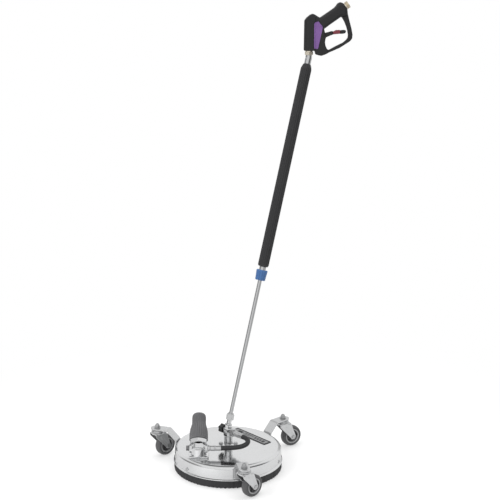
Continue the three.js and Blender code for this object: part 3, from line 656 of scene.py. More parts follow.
def plate_border():
    outer = rounded_rect(BORDER_LENGTH, BORDER_DEPTH, BORDER_RADIUS, x=PLATE_X, y=PLATE_Y)
    inner = rounded_rect(BORDER_LENGTH - 2 * BORDER_WIDTH, BORDER_DEPTH - 2 * BORDER_WIDTH,
                         max(BORDER_RADIUS - BORDER_WIDTH, 0.6), x=PLATE_X, y=PLATE_Y)
    vertices = [(x, y, z) for z in (63.3, 63.62) for ring in (outer, inner) for x, y in ring]
    outer_low, inner_low, outer_high, inner_high = ring_rows(4, len(outer))
    rows = [outer_low, inner_low, inner_high, outer_high]
    return np.array(vertices, float), bridge(rows, closed=True), 1


def plate_bar(x0, x1, y0, y1):
    outline = rounded_rect(x1 - x0, y1 - y0, min(1.2, (y1 - y0) / 2.3), 3,
                           PLATE_X + (x0 + x1) / 2, PLATE_Y + (y0 + y1) / 2)
    return prism(outline, 63.3, 63.5, bevel=0.05, segments=1, index=1)


plate_field = prism(rounded_rect(140, 28, 3, x=PLATE_X, y=PLATE_Y), 62.8, 63.35,
                    bevel=0.15, segments=2)
piece("deck_plate", [plate_field, plate_border()] + [plate_bar(*bar) for bar in PLATE_BARS],
      DECK, [PLATE, PLATE_DARK], replaced="deck_label")

# ---------------------------------------------------------------- castors
CASTORS = (("rear", 90, 76), ("front_right", 210, 90), ("front_left", 330, 90))  # angle, yaw
CASTOR_RADIUS = 211                  # deck axis to kingpin
WHEEL_X, WHEEL_Z = 27.5, 30          # wheel axle from the kingpin
ARM_ROUND_X, ARM_HALF = 215.0, 15.0  # where the rounded end starts; half the strip's width
ARM_TOP = 85.5


def castor_arm():
    """Strip bent up from the deck's side and out over the wheel, with a half-round end."""
    line = fillet([(150.2, 29.0), (150.2, 59.85, 7), (175.85, ARM_TOP, 7), (230.0, ARM_TOP)],
                  6, 8)[:-1]
    line.append((ARM_ROUND_X, ARM_TOP))
    # the last station stops short of 90 degrees, so that the end keeps some width
    line += [(ARM_ROUND_X + ARM_HALF * math.sin(math.radians(min(angle, 88.5))), ARM_TOP)
             for angle in range(5, 95, 5)]
    points = [np.array(p) for p in line]
    rings = []
    for i, point in enumerate(points):
        tangent = points[min(i + 1, len(points) - 1)] - points[max(i - 1, 0)]
        tangent = tangent / np.linalg.norm(tangent)
        normal = np.array([-tangent[1], tangent[0]])
        half = ARM_HALF
        if point[0] > ARM_ROUND_X:
            half = math.sqrt(max(ARM_HALF**2 - (point[0] - ARM_ROUND_X) ** 2, 0.2))
        half_thick = 1.6 if point[0] > 229.0 else 2.0
        ring = []
        for y, out in rounded_rect(2 * half, 2 * half_thick, min(0.8, half * 0.9), 3):
            x, z = point + normal * out
            ring.append((x, y, z))
        rings.append(ring)
    return loft(rings)


def weld(y):
    """Upright bead where an edge of the arm meets the deck."""
    return sweep([(148.3, y, z) for z in (30, 43.5, 57)], 1.5, 90, 14, round_end=1.2,
                 rib=lambda s, angles: 0.22 * np.sin(s * 3.1 + 0.6 * np.cos(angles)))


def kingpin():
    dome = [(6.0 * math.cos(math.radians(a)), 94.5 + 6.0 * math.sin(math.radians(a)))
            for a in np.arange(0, 90, 7.5)]
    race = [   # radius, z, corner radius, from the top down
        (0, 88.5), (5, 88.5), (5, 83.2), (12, 83.2, 0.5), (15.2, 81.9, 1.2), (17.0, 78.7, 1.0),
        (17.0, 75.7, 0.5), (15.6, 75.5), (5, 75.5), (5, 68.0), (8, 68.0, 0.4), (8, 63.9, 0.8),
        (4.6, 62.7, 0.4), (0, 62.5)]
    return [hexagon(13, 88.9, 94.6), rod(9.4, 87.6, 89.0, 60, edge=0.4),
            lathe([(0, 94.0), (6.0, 94.0)] + dome + [(0, 100.5)], 60),
            turned(race, 0.4, 4, 72)]


FORK_CHEEK = fillet([   # x, z
    (-16, 74.7), (-16, 67.5), (-14.4, 63.7), (19.3, 27.5), (22.1, 23.3), (27.5, 21.5),
    (32.9, 23.4), (35.7, 28), (35.5, 32.5), (22, 67.5), (20, 74.7)], 6, 5, closed=True)


def fork_field(x, y, z):
    across = np.abs(y)
    shell = np.maximum(round_meet(across - 15.5, z - 74.7, 5.5),
                       -round_meet(across - 13.1, z - 71.9, 3.2))
    cheeks = meet(shell, inside_outline(x, z, FORK_CHEEK), 1.0)
    body = union(cheeks, extrude(disc(x, y, 17.5), z, 70.1, 74.9, 1.2), 1.2)
    body = meet(body, -disc(x, y, 5.6), 0.4)
    # pressed rib on each cheek, from (4, 61) by (21, -28) in x and z
    along = np.clip(((x - 4) * 21 + (z - 61) * -28) / (21**2 + 28**2), 0, 1)
    rib = disc(along * 21 + 4 - x, 61 - along * 28 - z, 3.0)
    return union(body, meet(meet(rib, across - 16.1, 0.8), 15.0 - across, 0.4), 0.8)


# wheel profiles: radius, z along the axle, corner radius
TYRE_PROFILE = mirrored([(21.3, -10.3), (24.2, -10.3, 0.4), (24.8, -9.7, 0.4),
                         (26.3, -10.4, 0.6), (28.7, -8.6, 2.0), (30.0, -4.4, 3.0)])
RIM_PROFILE = mirrored([(17.4, -6.4), (18.4, -9.8, 0.5), (21.1, -10.6, 0.5)])
CENTRE_PROFILE = mirrored([(4.5, -11.9), (7.8, -11.9, 0.6), (7.9, -5.6, 0.8), (17.6, -5.2)])


def wheel_hub():
    rib = [(7.2, -0.8), (17.8, -0.8), (17.8, 0.8), (7.2, 0.8)]
    ribs = [moved(prism(rib, low, high, bevel=0.25, segments=2, index=1), turn(60 * i, "Z"))
            for i in range(6) for low, high in ((-8.2, -5.0), (5.0, 8.2))]
    return [turned(RIM_PROFILE, 0.5, 3, 72, closed=True),
            turned(CENTRE_PROFILE, 0.5, 3, 72, closed=True, index=1)] + ribs


def wheel_axle():
    shank = [(0, -16.5), (4.3, -16.5), (4.3, 15.8), (3.9, 15.8), (3.9, 17.6), (3.4, 17.9),
             (0, 17.9)]
    return [hexagon(10, -17.8, -15.75, top=False, bottom=True), lathe(shank, 40),
            hexagon(10, 15.75, 17.5)] + [
        rod(6.1, z, z + 0.5, 40, edge=0.15, steps=2) for z in (-15.95, 15.5)]


fork = field_mesh(fork_field, (-18, -17.8, 21), (36.5, 17.8, 75.5), 0.62)
for name, angle, yaw in CASTORS:
    arm_frame = DECK @ turn(angle, "Z")
    king_frame = DECK @ shift(*polar(CASTOR_RADIUS, angle), 0)
    fork_frame = king_frame @ turn(yaw, "Z")
    wheel_frame = fork_frame @ shift(WHEEL_X, 0, WHEEL_Z) @ ALONG_Y
    castor, wheel = f"castor_{name}", f"wheel_{name}"
    piece(f"castor_arm_{name}_strip", [castor_arm()], arm_frame, [STEEL_SATIN])
    piece(f"castor_arm_{name}_weld", [weld(15.4), weld(-15.4)], arm_frame, [STEEL_ZINC],
          replaced=None)
    piece(f"castor_kingpin_{name}_race", kingpin(), king_frame, [STEEL_ZINC])
    piece(f"castor_fork_{name}_pressing", [fork], fork_frame, [STEEL_SATIN],
          castor, sharp=50)
    piece(f"castor_axle_{name}_bolt", wheel_axle(), wheel_frame, [STEEL_ZINC],
          castor)
    piece(f"castor_tyre_{name}_tread", [turned(TYRE_PROFILE, 1.0, 5, 96, closed=True)],
          wheel_frame, [TYRE], wheel)
    piece(f"castor_hub_{name}_rim", wheel_hub(), wheel_frame, [WHEEL_RIM, WHEEL_CENTRE],
          wheel)

# ---------------------------------------------------------------- hinge post
PIN_HOLE = 6.4                       # radius of the hole for the pivot pin
POST = [   # radius, z; the first and last points lie past the axis
    (-30, 62.8), (27, 62.8), (27, 66.6), (26.2, 67.4), (14.6, 67.4), (12.6, 68.3), (12, 70.2),
    (12, 91), (12.4, 92.2), (13, 93.2), (13, 113.2), (11.8, 114.5), (-30, 114.5)]


def post_field(x, y, z):
    body = inside_outline(disc(x, y, 0), z, POST)
    slot = np.maximum(np.abs(x) - 6.3, 93.5 - z)
    body = meet(body, -slot, 0.6)
    return meet(body, -disc(y, z - PIVOT_Z, PIN_HOLE), 0.4)


piece("hinge_post_column",
      [field_mesh(post_field, (-27.2, -27.2, 62.6), (27.2, 27.2, 114.6), 0.55)],
      DECK, [STEEL_MIRROR], sharp=50)

for i, angle in enumerate((50, 140, 230, 320)):
    piece(f"post_bolt_{i + 1}_hex",
          [hexagon(10, 68.3, 72.2), rod(6.0, 67.5, 68.4, edge=0.25, steps=2),
           lathe([(0, 47.6), (2.6, 47.6), (3, 48), (3, 69), (0, 69)], 32)],
          DECK @ shift(*polar(20.5, angle), 0) @ turn(angle + 11, "Z"),
          [STEEL_SATIN])

UNION_PROFILE = [   # radius, z, corner radius
    (0, 60.2), (27, 60.2), (27, 53, 0.8), (18, 53, 1.5), (18, 36, 0.8), (13.2, 36), (13.2, 50),
    (8.4, 50), (8.4, 56), (0, 56)]
piece("union_housing_body", [turned(UNION_PROFILE, 0.5, 3, 96)], DECK, [STEEL_SATIN])
piece("union_bearing_ring",
      [tube(6.45, 12.9, 37, 49.6, 96, edge=0.7, steps=4),
       tube(8.2, 11.2, 36.7, 37.2, 96, edge=0.15, index=1)],
      DECK, [STEEL_DARK, HOSE_RUBBER])


def pivot_pin():
    """Stepped pin with a ridged end on the -X side."""
    def ridges(angles, radius, z):
        if 3.5 < radius < 4.3 and z < -29:
            return radius + 0.16 * math.sin((z + 37) * 2 * math.pi / 1.25)
        return radius

    thin = [(0, -37.0), (3.3, -37.0)] + [(4.0, z) for z in np.arange(-36.4, -13.4, 0.3)]
    thick = fillet([(4.0, -13.4), (6, -13.4), (6, 15.6), (5.6, 16), (0, 16)], 0.4, 3)[1:]
    return lathe(thin + thick, 48, radial=ridges)


def knob_field(x, y, z):
    """Six-lobed knob with a round boss and a bore."""
    lobes = disc(x, y, 0) - (11.9 + 1.15 * np.cos(6 * np.arctan2(y, x)))
    body = union(extrude(lobes, z, -29.5, -13.6, 2.2),
                 extrude(disc(x, y, 7.6), z, -30.3, -20, 0.8), 0.8)
    return meet(body, -disc(x, y, 4.35), 0.3)


piece("pivot_pin_shank", [pivot_pin()], PIVOT, [STEEL_SATIN])
piece("clamp_knob_lobes",
      [field_mesh(knob_field, (-13.2, -13.2, -30.4), (13.2, 13.2, -13.5), 0.42)],
      PIVOT, [KNOB_BLACK], "knob", sharp=50)


# ---------------------------------------------------------------- bypass hose
def ferrule(low, high, outer):
    """Crimped ferrule: a smooth shell with eight shallow flats between its end beads."""
    waist = outer - 0.7
    profile = [   # radius, z
        (0, low), (outer - 0.3, low), (outer, low + 0.8), (outer, low + 2.2),
        (waist, low + 2.9), (waist, low + 4.0), (outer, low + 4.8), (outer, high - 4.6),
        (waist, high - 3.9), (waist, high - 2.9), (outer, high - 2.2), (outer, high - 0.7),
        (outer - 0.6, high), (0, high)]

    def crimp(angles, radius, z):
        if radius > outer - 0.1 and low + 4.5 < z < high - 4.4:
            return radius - 0.16 * (0.5 + 0.5 * np.cos(8 * angles))
        return radius

    return turned(profile, 0.4, 3, 64, radial=crimp)


piece("hose_fitting_rear_ferrule",
      [hexagon(20, 16.4, 25.5, bottom=True), rod(6.6, 24, 28.2, edge=0.4, steps=2),
       ferrule(27.8, 45.2, 8.0),
       turned([(0, 44), (7.2, 44), (7.2, 59.6), (6.7, 60), (0, 60)], 0.3, 3, 48)],
      PIVOT, [STEEL_SATIN])

bore_x, bore_y = polar(1, YAW)
HOSE_LINE = [   # x, y, z from the pivot's fitting to the grip block's
    (59.4, 0, PIVOT_Z), (66, 0, PIVOT_Z), (74, 0.2, 105), (83, -1.5, 101), (87, -10, 96.5),
    (82, -23, 91.5), (69.5, -37, 88), (56.5, -50, 86.2),
    (HANDLE_X + bore_x * 60.4, HANDLE_Y + bore_y * 60.4, BORE_Z)]
hose = sweep(HOSE_LINE, 6.5, 320, 40,
             rib=lambda s, angles: 0.09 * np.sin(s * 2 * math.pi / 1.6 + 3 * angles))
piece("bypass_hose", [hose], DECK, [HOSE_RUBBER], replaced="hose", sharp=60,
      weighted=False)
piece("hose_fitting_front_ferrule",
      [ferrule(28.6, 47.0, 7.3),
       turned([(0, 24.9), (8.6, 24.9), (8.6, 29), (7.0, 29.6), (0, 29.6)], 0.4, 3, 64),
       turned([(0, 46), (6.7, 46), (6.7, 60.6), (6.2, 61), (0, 61)], 0.3, 3, 48)],
      BORE, [STEEL_SATIN])

# ---------------------------------------------------------------- grip block and grip
BLOCK = [   # radius, z of the domed body; the first and last points lie past the axis
    (-30, 66), (19.4, 66), (21, 67.6), (21, 86.5), (20.3, 91), (18.6, 95), (15, 98.8),
    (9, 101.6), (-30, 104)]
BLOCK_FOOT = rounded_rect(56, 38, 4, 6)


def block_field(x, y, z):
    foot = extrude(inside_outline(x, y, BLOCK_FOOT), z, 62.8, 67.0, 0.7)
    dome = meet(inside_outline(disc(x, y, 0), z, BLOCK), disc(x, y, 21), 0.5)
    # leaning neck: along runs up the grip's axis from its base, across is square to it
    lean = math.radians(GRIP_LEAN)
    along = (y - GRIP_Y) * math.sin(lean) + (z - GRIP_Z) * math.cos(lean)
    across = (y - GRIP_Y) * math.cos(lean) - (z - GRIP_Z) * math.sin(lean)
    neck = np.maximum(disc(x, across, 16.2), np.maximum(-27 - along, along + 12.3))
    boss = extrude(disc(y, z - BORE_Z, 12.5), x, -24.6, 24.6, 1.0)
    body = union(union(dome, boss, 2.5), neck, 2.5)
    body = union(body, foot, 1.6)
    return meet(body, along + 12.3, 0.4)


GRIP_PROFILE = [   # radius, z before the height is adjusted
    (0, 0), (24.4, 0), (25.2, 0.9), (25.2, 3.0), (24.4, 3.7), (24.4, 4.6), (25.2, 5.3),
    (25.2, 14), (24.9, 20.5), (24.5, 27), (23.7, 32.5), (22.5, 38), (21.1, 43.5), (19.8, 49),
    (19.1, 54), (19, 59), (19, 65), (19, 71), (18.8, 75), (18.1, 78.4), (16.6, 81.5),
    (14.0, 84.0), (10.2, 85.8), (5.2, 86.7), (0, 87)]


def grip():
    """Grip with 24 lengthwise grooves that fade out at both ends."""
    # above the base ring the height shrinks from 81 to 73
    scaled = [(radius, z if z < 6 else 6 + (z - 6) * 73 / 81) for radius, z in GRIP_PROFILE]
    corners = [np.array(p) for p in fillet(scaled, 1.2, 3)]
    line = [corners[0]]
    for a, b in zip(corners, corners[1:]):
        count = max(1, int(np.linalg.norm(b - a) // 2.4))
        line += [a + (b - a) * i / count for i in range(1, count + 1)]

    def grooves(angles, radius, z):
        fade = min(1, max(0, (z - 5.5) / 3)) * min(1, max(0, (75 - z) / 4))
        return radius + 1.15 * fade * (np.clip(np.cos(24 * angles) * 1.5, -1, 0.2) - 0.2)

    return lathe(line, 288, radial=grooves)


piece("handle_block_casting",
      [field_mesh(block_field, (-28.2, -22, 62.6), (28.2, 22, 104), 0.6)],
      HANDLE, [STEEL_MIRROR], sharp=50)
piece("handle_plug_hex",
      [hexagon(12, -33.5, -26.6, top=False, bottom=True), rod(8, -27, -24.9, edge=0.4)],
      BORE, [STEEL_DARK])
piece("handle_nut_hex", [hexagon(44, -12.0, -0.4, bottom=True, chamfer=0.7)],
      GRIP, [STEEL_MIRROR])
piece("handle_grip_rubber", [grip()], GRIP, [GRIP_RUBBER], sharp=70,
      weighted=False)

FEED_LINE = [   # x, y, z: down through the deck under the grip block, then in to the axis
    (HANDLE_X, HANDLE_Y, 73.4), (HANDLE_X, HANDLE_Y, 56), (HANDLE_X, HANDLE_Y + 3.5, 49),
    (1.8, -98, 45.6), (0, -78, 45), (0, -17.5, 45)]
piece("feed_pipe_tube", [sweep(FEED_LINE, 5, 100, 28)], DECK, [STEEL_SATIN])

# ---------------------------------------------------------------- rotor
ROTOR_HUB = [   # radius, z, corner radius
    (0, 18), (15.5, 18, 0.5), (17, 19.5, 0.5), (17, 32.5, 0.5), (15.5, 34, 0.5),
    (6.2, 34, 1.2), (6, 54, 0.4), (0, 54)]
NOZZLE = [   # radius, z, corner radius, from the tip up
    (0, 10.6), (1.2, 9.4, 0.1), (2.6, 9.0, 0.3), (4.6, 12, 0.5), (7.5, 13.5, 0.5), (7.5, 19, 0),
    (6.9, 19.4), (6.9, 20.4), (7.5, 20.8), (7.5, 33.4), (6.9, 34.1), (0, 34.1)]
piece("rotor_hub_boss", [turned(ROTOR_HUB, 0.5, 3, 80)], DECK, [STEEL_SATIN],
      "rotor")
arms = [moved(rod(6, low, high, 40, edge=0.4), ALONG_X)
        for low, high in ((-110.4, -16.0), (16.0, 110.4))]
arm_nuts = [moved(moved(hexagon(16, 17.2, 24.5), ALONG_X), turn(angle, "Z"))
            for angle in (0, 180)]
piece("rotor_bar_arms", arms + arm_nuts, DECK @ shift(0, 0, 26), [STEEL_SATIN],
      "rotor")
for i, x in enumerate((-118.3, 118.3)):
    piece(f"rotor_nozzle_{i + 1}_tip",
          [turned(NOZZLE, 0.3, 2, 64), hexagon(14.4, 21.5, 32.5, bottom=True)],
          DECK @ shift(x, 0, 0), [BRASS], "rotor")

# ---------------------------------------------------------------- lance
TONGUE = [   # radius from the tube axis, z; the first and last points lie past the axis
    (-30, 16), (9.2, 16), (10, 16.9), (10, 19.2), (9.4, 20), (7.2, 21), (6.6, 22.2),
    (6.6, 36.8), (-30, 36.8)]
EYE = [polar(10.5, a) for a in np.linspace(140.4, 399.6, 40)]    # y, z round the tilt axis
EYE += [(TUBE_Y + 7, 18), (TUBE_Y - 7, 18)]


def tongue_field(x, y, z):
    eye = extrude(inside_outline(y, z, EYE), x, -6, 6, 0.8)
    stem = inside_outline(disc(x, y - TUBE_Y, 0), z, TONGUE)
    return meet(union(eye, stem, 1.0), -disc(y, z, PIN_HOLE), 0.4)


piece("lance_tongue_eye",
      [field_mesh(tongue_field, (-10.3, -14.5, -10.8), (10.3, 10.8, 37), 0.42)],
      LANCE, [STEEL_MIRROR], "lance", sharp=50)
piece("lance_nut_hex",
      [hexagon(20, 31, 47, bottom=True, bore=7.2),
       turned([(5.9, 46.4), (8.8, 46.4), (8.8, 49.4, 0.5), (5.9, 50)], 0.3, 2, 64,
              closed=True)],
      TUBE, [STEEL_SATIN], "lance")

LOWER_TUBE = [(0, 37.2), (5.5, 37.2), (5.5, 430.7), (9.2, 431), (9.2, 435.4), (0, 435.4)]
piece("lower_tube_drawn", [turned(LOWER_TUBE, 0.3, 2, 64)], TUBE, [STEEL_TUBE],
      "lance")

NUT_LOW, NUT_HIGH = 426.6, 455.4
NUT_PROFILE = [   # radius, z, corner radius
    (6.0, NUT_LOW), (12.9, NUT_LOW, 0.8), (14.0, NUT_LOW + 2.0, 0.8), (14.2, NUT_LOW + 9),
    (14.9, NUT_LOW + 18), (15.6, NUT_HIGH - 2.6, 0.8), (14.9, NUT_HIGH, 0.8),
    (10.1, NUT_HIGH, 0.3), (10.1, 430.3), (6.0, 430.3)]


def nut_notches(angles, radius, z):
    """Twelve broad ribs with notches between them, on the outside only."""
    if radius < 12.6:
        return radius
    return radius - 0.9 * np.clip((np.cos(12 * angles) - 0.45) / 0.3, 0, 1)


piece("coupling_nut_ribbed",
      [turned(NUT_PROFILE, 0.5, 4, 240, closed=True, radial=nut_notches)],
      TUBE, [BLUE], "coupling", sharp=50)


def to_tube(y, z):
    """Point of the deck frame's x = 0 plane, in the tube's frame."""
    lean = math.radians(LANCE_LEAN)
    return (0, y * math.cos(lean) - (z - PIVOT_Z) * math.sin(lean) - TUBE_Y,
            y * math.sin(lean) + (z - PIVOT_Z) * math.cos(lean))


collar = turned([(0, 435.8), (9.5, 435.8), (9.5, 464.2), (8.9, 464.8), (6.75, 464.8, 0),
                 (0, 464.8)], 0.4, 3, 72)
bend = sweep([(0, 0, 1033), (0, 0, 1040), (0, 0, 1046), to_tube(287.4, 1113),
              to_tube(288.3, 1119), to_tube(GUN_Y, 1122.4)], 9.2, 90, 64)
piece("upper_tube_drawn", [collar, rod(6.75, 463, 1034), bend], TUBE, [STEEL_TUBE],
      "lance")


def sleeve():
    """Rubber sleeve with 16 lengthwise grooves that fade out at both ends."""
    profile = [(7.3, 465.4), (12.4, 465.4), (13.6, 466.2), (14.6, 468), (15, 470.4)]
    profile += [(15, z) for z in np.arange(478, 1014, 12)]
    profile += [(15, 1016), (14.7, 1019), (13.8, 1022.5), (12.2, 1027), (10.4, 1031),
                (9.4, 1032), (7.3, 1032)]

    def grooves(angles, radius, z):
        if radius < 8:
            return radius
        fade = min(1, max(0, (z - 468) / 6)) * min(1, max(0, (1028 - z) / 10))
        return radius + 0.75 * fade * (np.clip(np.cos(16 * angles) * 1.8, -1, 0.35) - 0.35)

    return lathe(profile, 192, closed=True, radial=grooves)


piece("lance_sleeve_rubber", [sleeve()], TUBE, [SLEEVE_RUBBER], "lance",
      sharp=70, weighted=False)

# ---------------------------------------------------------------- trigger gun
piece("gun_outlet_hex",
      [hexagon(22, -10.8, -2.4, bottom=True), rod(10.4, -4, 0.3, 72, edge=0.4),
       turned([(0, -12.2), (8.0, -12.2), (8.6, -10.4), (0, -10.4)], 0.3, 2, 60)],
      GUN, [BRASS], "lance")

# side outlines of the gun: x, z in the gun frame
OUTER = soft([
    (-12.7, 0.8), (-14.2, 3), (-14.2, 81), (-8.8, 88.5), (0.6, 96.5), (7.7, 99), (13.7, 97.2),
    (21, 93), (27.7, 88.9), (64.7, 114.7), (68.8, 118.7), (75.2, 127.5), (82.2, 130.6),
    (88.9, 128.4), (93.7, 124.6), (101.1, 115.8), (102.7, 103.5), (106.7, 87.1), (114, 62.4),
    (117.8, 44.7), (116.8, 34), (111.4, 26.9), (84.1, 9.1), (54.3, -4), (44.8, -8.8),
    (34, -12.6), (25.5, -11.1), (17.4, -8.6), (15.4, 0.8)], 4)
WINDOW = soft([
    (39.7, 60.1), (84.4, 91.8), (88.1, 89.5), (94.3, 78.9), (99.5, 67.1), (103.2, 55.3),
    (105.2, 43.5), (104.5, 36.4), (100.4, 30.5), (92.2, 23.4), (70.8, 12.7), (53, 2.6),
    (48.1, 6.7), (44.3, 15.1), (42.8, 24.6), (43.9, 31.7), (46.2, 37.6), (43, 47.1)], 4)
COLUMN = soft([
    (-12.7, 0.8), (-14.2, 3), (-14.2, 81), (-8.8, 88.5), (0.6, 96.5), (7.7, 99), (13.7, 97.2),
    (16, 95.6), (16, 0.8)], 2.5)
TRUNK = soft([
    (4, 98.2), (7.7, 99), (13.7, 97.2), (21, 93), (27.7, 88.9), (40, 92), (50, 67.4),
    (39.7, 60.1), (43, 47.1), (46.2, 37.6), (43.9, 31.7), (42.8, 24.6), (44.3, 15.1),
    (48.1, 6.7), (52, 0), (50, -6), (44.8, -8.8), (34, -12.6), (25.5, -11.1), (17.4, -8.6),
    (15.4, 0.8), (4, 0.8)], 3)
HOLD = soft([
    (22, 85), (27.7, 88.9), (64.7, 114.7), (68.8, 118.7), (75.2, 127.5), (82.2, 130.6),
    (88.9, 128.4), (93.7, 124.6), (101.1, 115.8), (102.7, 103.5), (101.6, 98), (95, 92.4),
    (84.4, 91.8), (39.7, 60.1), (28, 64)], 4)
INLAY = soft([
    (14.1, 76.5), (23.7, 79.5), (30.4, 71.8), (36, 64.8), (33.8, 53), (29.5, 31.7), (24, 5.5),
    (13.1, 6.7), (12.4, 71.8)], 2)
GUN_HALF = 13.4                      # half the gun's width
TRIGGER_X, TRIGGER_Z = 40, 41        # axis the trigger swings on


def gun_solid(x, y, z):
    """Gun without its pocket, slot and bores."""
    rounded = (np.sqrt(((x + 0.2) / 14.0) ** 2 + (y / GUN_HALF) ** 2 + 1e-9) - 1) * GUN_HALF
    rounded = np.where(x > 0, np.abs(y) - GUN_HALF + x * 0.05, rounded)
    column = extrude(inside_outline(x, z, COLUMN), y, -GUN_HALF, GUN_HALF, 1.6)
    column = meet(column, rounded, 2.0)
    trunk = extrude(inside_outline(x, z, TRUNK), y, -11.2, 11.2, 3.4)
    hold = extrude(inside_outline(x, z, HOLD), y, -GUN_HALF, GUN_HALF, 8.5)
    loop = np.maximum(inside_outline(x, z, OUTER), -inside_outline(x, z, WINDOW))
    guard = extrude(loop, y, -6.2, 6.2, 2.6)
    return union(union(union(column, trunk, 1.6), hold, 2.4), guard, 1.8)


def gun_body(x, y, z):
    across = np.abs(y)
    body = gun_solid(x, y, z)
    pocket = np.maximum(inside_outline(x, z, INLAY) - 0.7, -(body + 1.2))
    body = meet(body, -np.maximum(pocket, 5 - across), 0.3)
    slot = np.maximum(np.maximum(across - 7.35, np.abs(x - 42.0) - 12.0),
                      np.maximum(31.5 - z, z - 61))
    body = meet(body, -slot, 0.6)
    pin_bore = np.maximum(disc(x - TRIGGER_X, z - TRIGGER_Z, 3.6), across - 11.0)
    body = np.maximum(body, -pin_bore)
    return meet(body, -np.maximum(disc(x, y, 9.3), z - 60), 0.3)


def gun_shell(side, cell):
    """Half of the body on one side of y = 0, with a narrow gap at the seam."""
    def field(x, y, z):
        return meet(gun_body(x, y, z), 0.15 - side * y, 0.25)

    low_y, high_y = (-14, 0) if side < 0 else (0, 14)
    return field_mesh(field, (-14.6, low_y, -13), (118.2, high_y, 131), cell)


def gun_inlay(side):
    """Thin panel that follows the gun's flank and stands a little proud of it."""
    def field(x, y, z):
        body = gun_solid(x, y, z)
        panel = meet(inside_outline(x, z, INLAY), body - 0.35, 0.5)
        return meet(meet(panel, -(body + 1.0), 0.2), 6 - side * y, 0.2)

    low_y, high_y = (-14, -6) if side < 0 else (6, 14)
    return field_mesh(field, (12, low_y, 4), (37, high_y, 81), 0.55)


gun_cell = 0.75
for name, side in (("left", -1), ("right", 1)):
    piece(f"gun_shell_{name}_moulding", [gun_shell(side, gun_cell)], GUN, [GUN_BLACK],
          "gun", sharp=55)
    piece(f"gun_inlay_{name}", [gun_inlay(side)], GUN, [PURPLE], "gun",
          replaced=None, sharp=55)


def threaded_stub():
    profile = [(0, 90.2), (9.4, 90.2)]
    profile += [(10.15 + 0.42 * math.cos((z - 90.6) / 1.5 * 2 * math.pi), z)
                for z in np.arange(90.6, 97.9, 0.375)]
    profile += [(9.8, 98.5), (9.3, 99.0), (7.4, 99.0), (6.9, 98.4), (6.9, 93.0), (0, 92.4)]
    return lathe(profile, 96)


piece("gun_inlet_stub",
      [threaded_stub(), lathe([(0, 86), (8.4, 86), (9.2, 88.6), (9.2, 90.4), (0, 90.4)], 72),
       rod(6.8, -26, 88), moved(rod(8.8, 0.9, 76), PIPE.inverted() @ GUN)],
      PIPE, [BRASS], "gun", replaced="gun_valve_body")

# side outlines of the trigger and its latch: x, z in the gun frame
LEVER = soft([
    (33.4, 43), (33.6, 48.6), (37, 49.8), (41, 48.4), (50, 50.6), (58, 53.0), (63, 53.8),
    (66, 51), (66, 45.4), (60, 43.0), (55.7, 41.2), (47, 37.4), (41, 35.2), (36.4, 37.0)], 2)
LEVER_TAIL = soft([(83.9, 56.2), (93.7, 57.1), (98.6, 56.4), (99.6, 52), (97.2, 48.2),
                   (90, 46.8), (83.9, 46.4)], 2)
LEVER_WEB = [(60, 52.4), (86, 53.4), (86, 47), (60, 44.4)]
LATCH = soft([(63.8, 50), (64.8, 52.6), (69.2, 54.3), (71.2, 56.2), (83.3, 57), (83.5, 48.6),
              (81, 46.6), (67.2, 46.4), (64.6, 47.5)], 1.5)
LATCH_BRIDGE = [(71.2, 54.3), (71.2, 56.2), (83.3, 57), (83.4, 54.3)]
LATCH_X, LATCH_Z = 67.2, 50          # axis of the latch


def trigger_field(x, y, z):
    lever = extrude(inside_outline(x, z, LEVER), y, -7, 7, 2.2)
    tail = extrude(inside_outline(x, z, LEVER_TAIL), y, -7, 7, 2.2)
    web = extrude(inside_outline(x, z, LEVER_WEB), y, -2.6, 2.6, 0.6)
    pin = extrude(disc(x - TRIGGER_X, z - TRIGGER_Z, 3), y, -10.6, 10.6, 0.4)
    body = union(union(union(lever, tail, 1.0), web, 1.0), pin, 0.5)
    # room for the latch on both sides of the web
    room = extrude(disc(x - LATCH_X, z - LATCH_Z, 5.2), y, -12, 12, 0.0)
    return np.maximum(body, -np.maximum(room, 2.8 - np.abs(y)))


def latch_field(x, y, z):
    cheeks = extrude(inside_outline(x, z, LATCH), np.abs(y), 3.0, 6.6, 0.8)
    top = extrude(inside_outline(x, z, LATCH_BRIDGE), y, -6.6, 6.6, 0.6)
    pin = extrude(disc(x - LATCH_X, z - LATCH_Z, 1.7), y, -4, 4, 0.2)
    body = union(union(cheeks, top, 0.5), pin, 0.3)
    ridges = 0.25 * np.cos((x - 71) * 2 * math.pi / 2.4)
    return body + ridges * np.clip((z - 55.5) / 0.5, 0, 1)


piece("trigger_lever_moulding",
      [field_mesh(trigger_field, (33, -10.8, 34.8), (100, 10.8, 58), 0.5)],
      GUN, [GUN_BLACK], "trigger_lever", replaced="trigger", sharp=50)
piece("safety_latch_moulding",
      [field_mesh(latch_field, (63.4, -6.8, 46.2), (83.8, 6.8, 57.4), 0.36)],
      GUN, [RED], "latch", sharp=50)
piece("valve_pin_rod",
      [turned([(0, 6.6), (2.2, 6.6), (2.2, 33.4, 1.0), (0, 33.4)], 0.5, 4, 32)],
      GUN @ shift(0, 0, 47) @ ALONG_X, [STEEL_SATIN], "valve")

# ---------------------------------------------------------------- world
WHITE = (1, 1, 1, 1)
DIM_CARDS = [   # direction, cosine of the core's edge, cosine of the outer edge, brightness
    ((0.95, 0.30, 0.0), 0.97, 0.70, 0.16), ((-0.62, -0.78, 0.05), 0.97, 0.78, 0.34),
    ((-0.25, 0.10, 0.96), 0.96, 0.80, 0.22), ((-0.50, 0.86, 0.12), 0.985, 0.93, 0.55)]


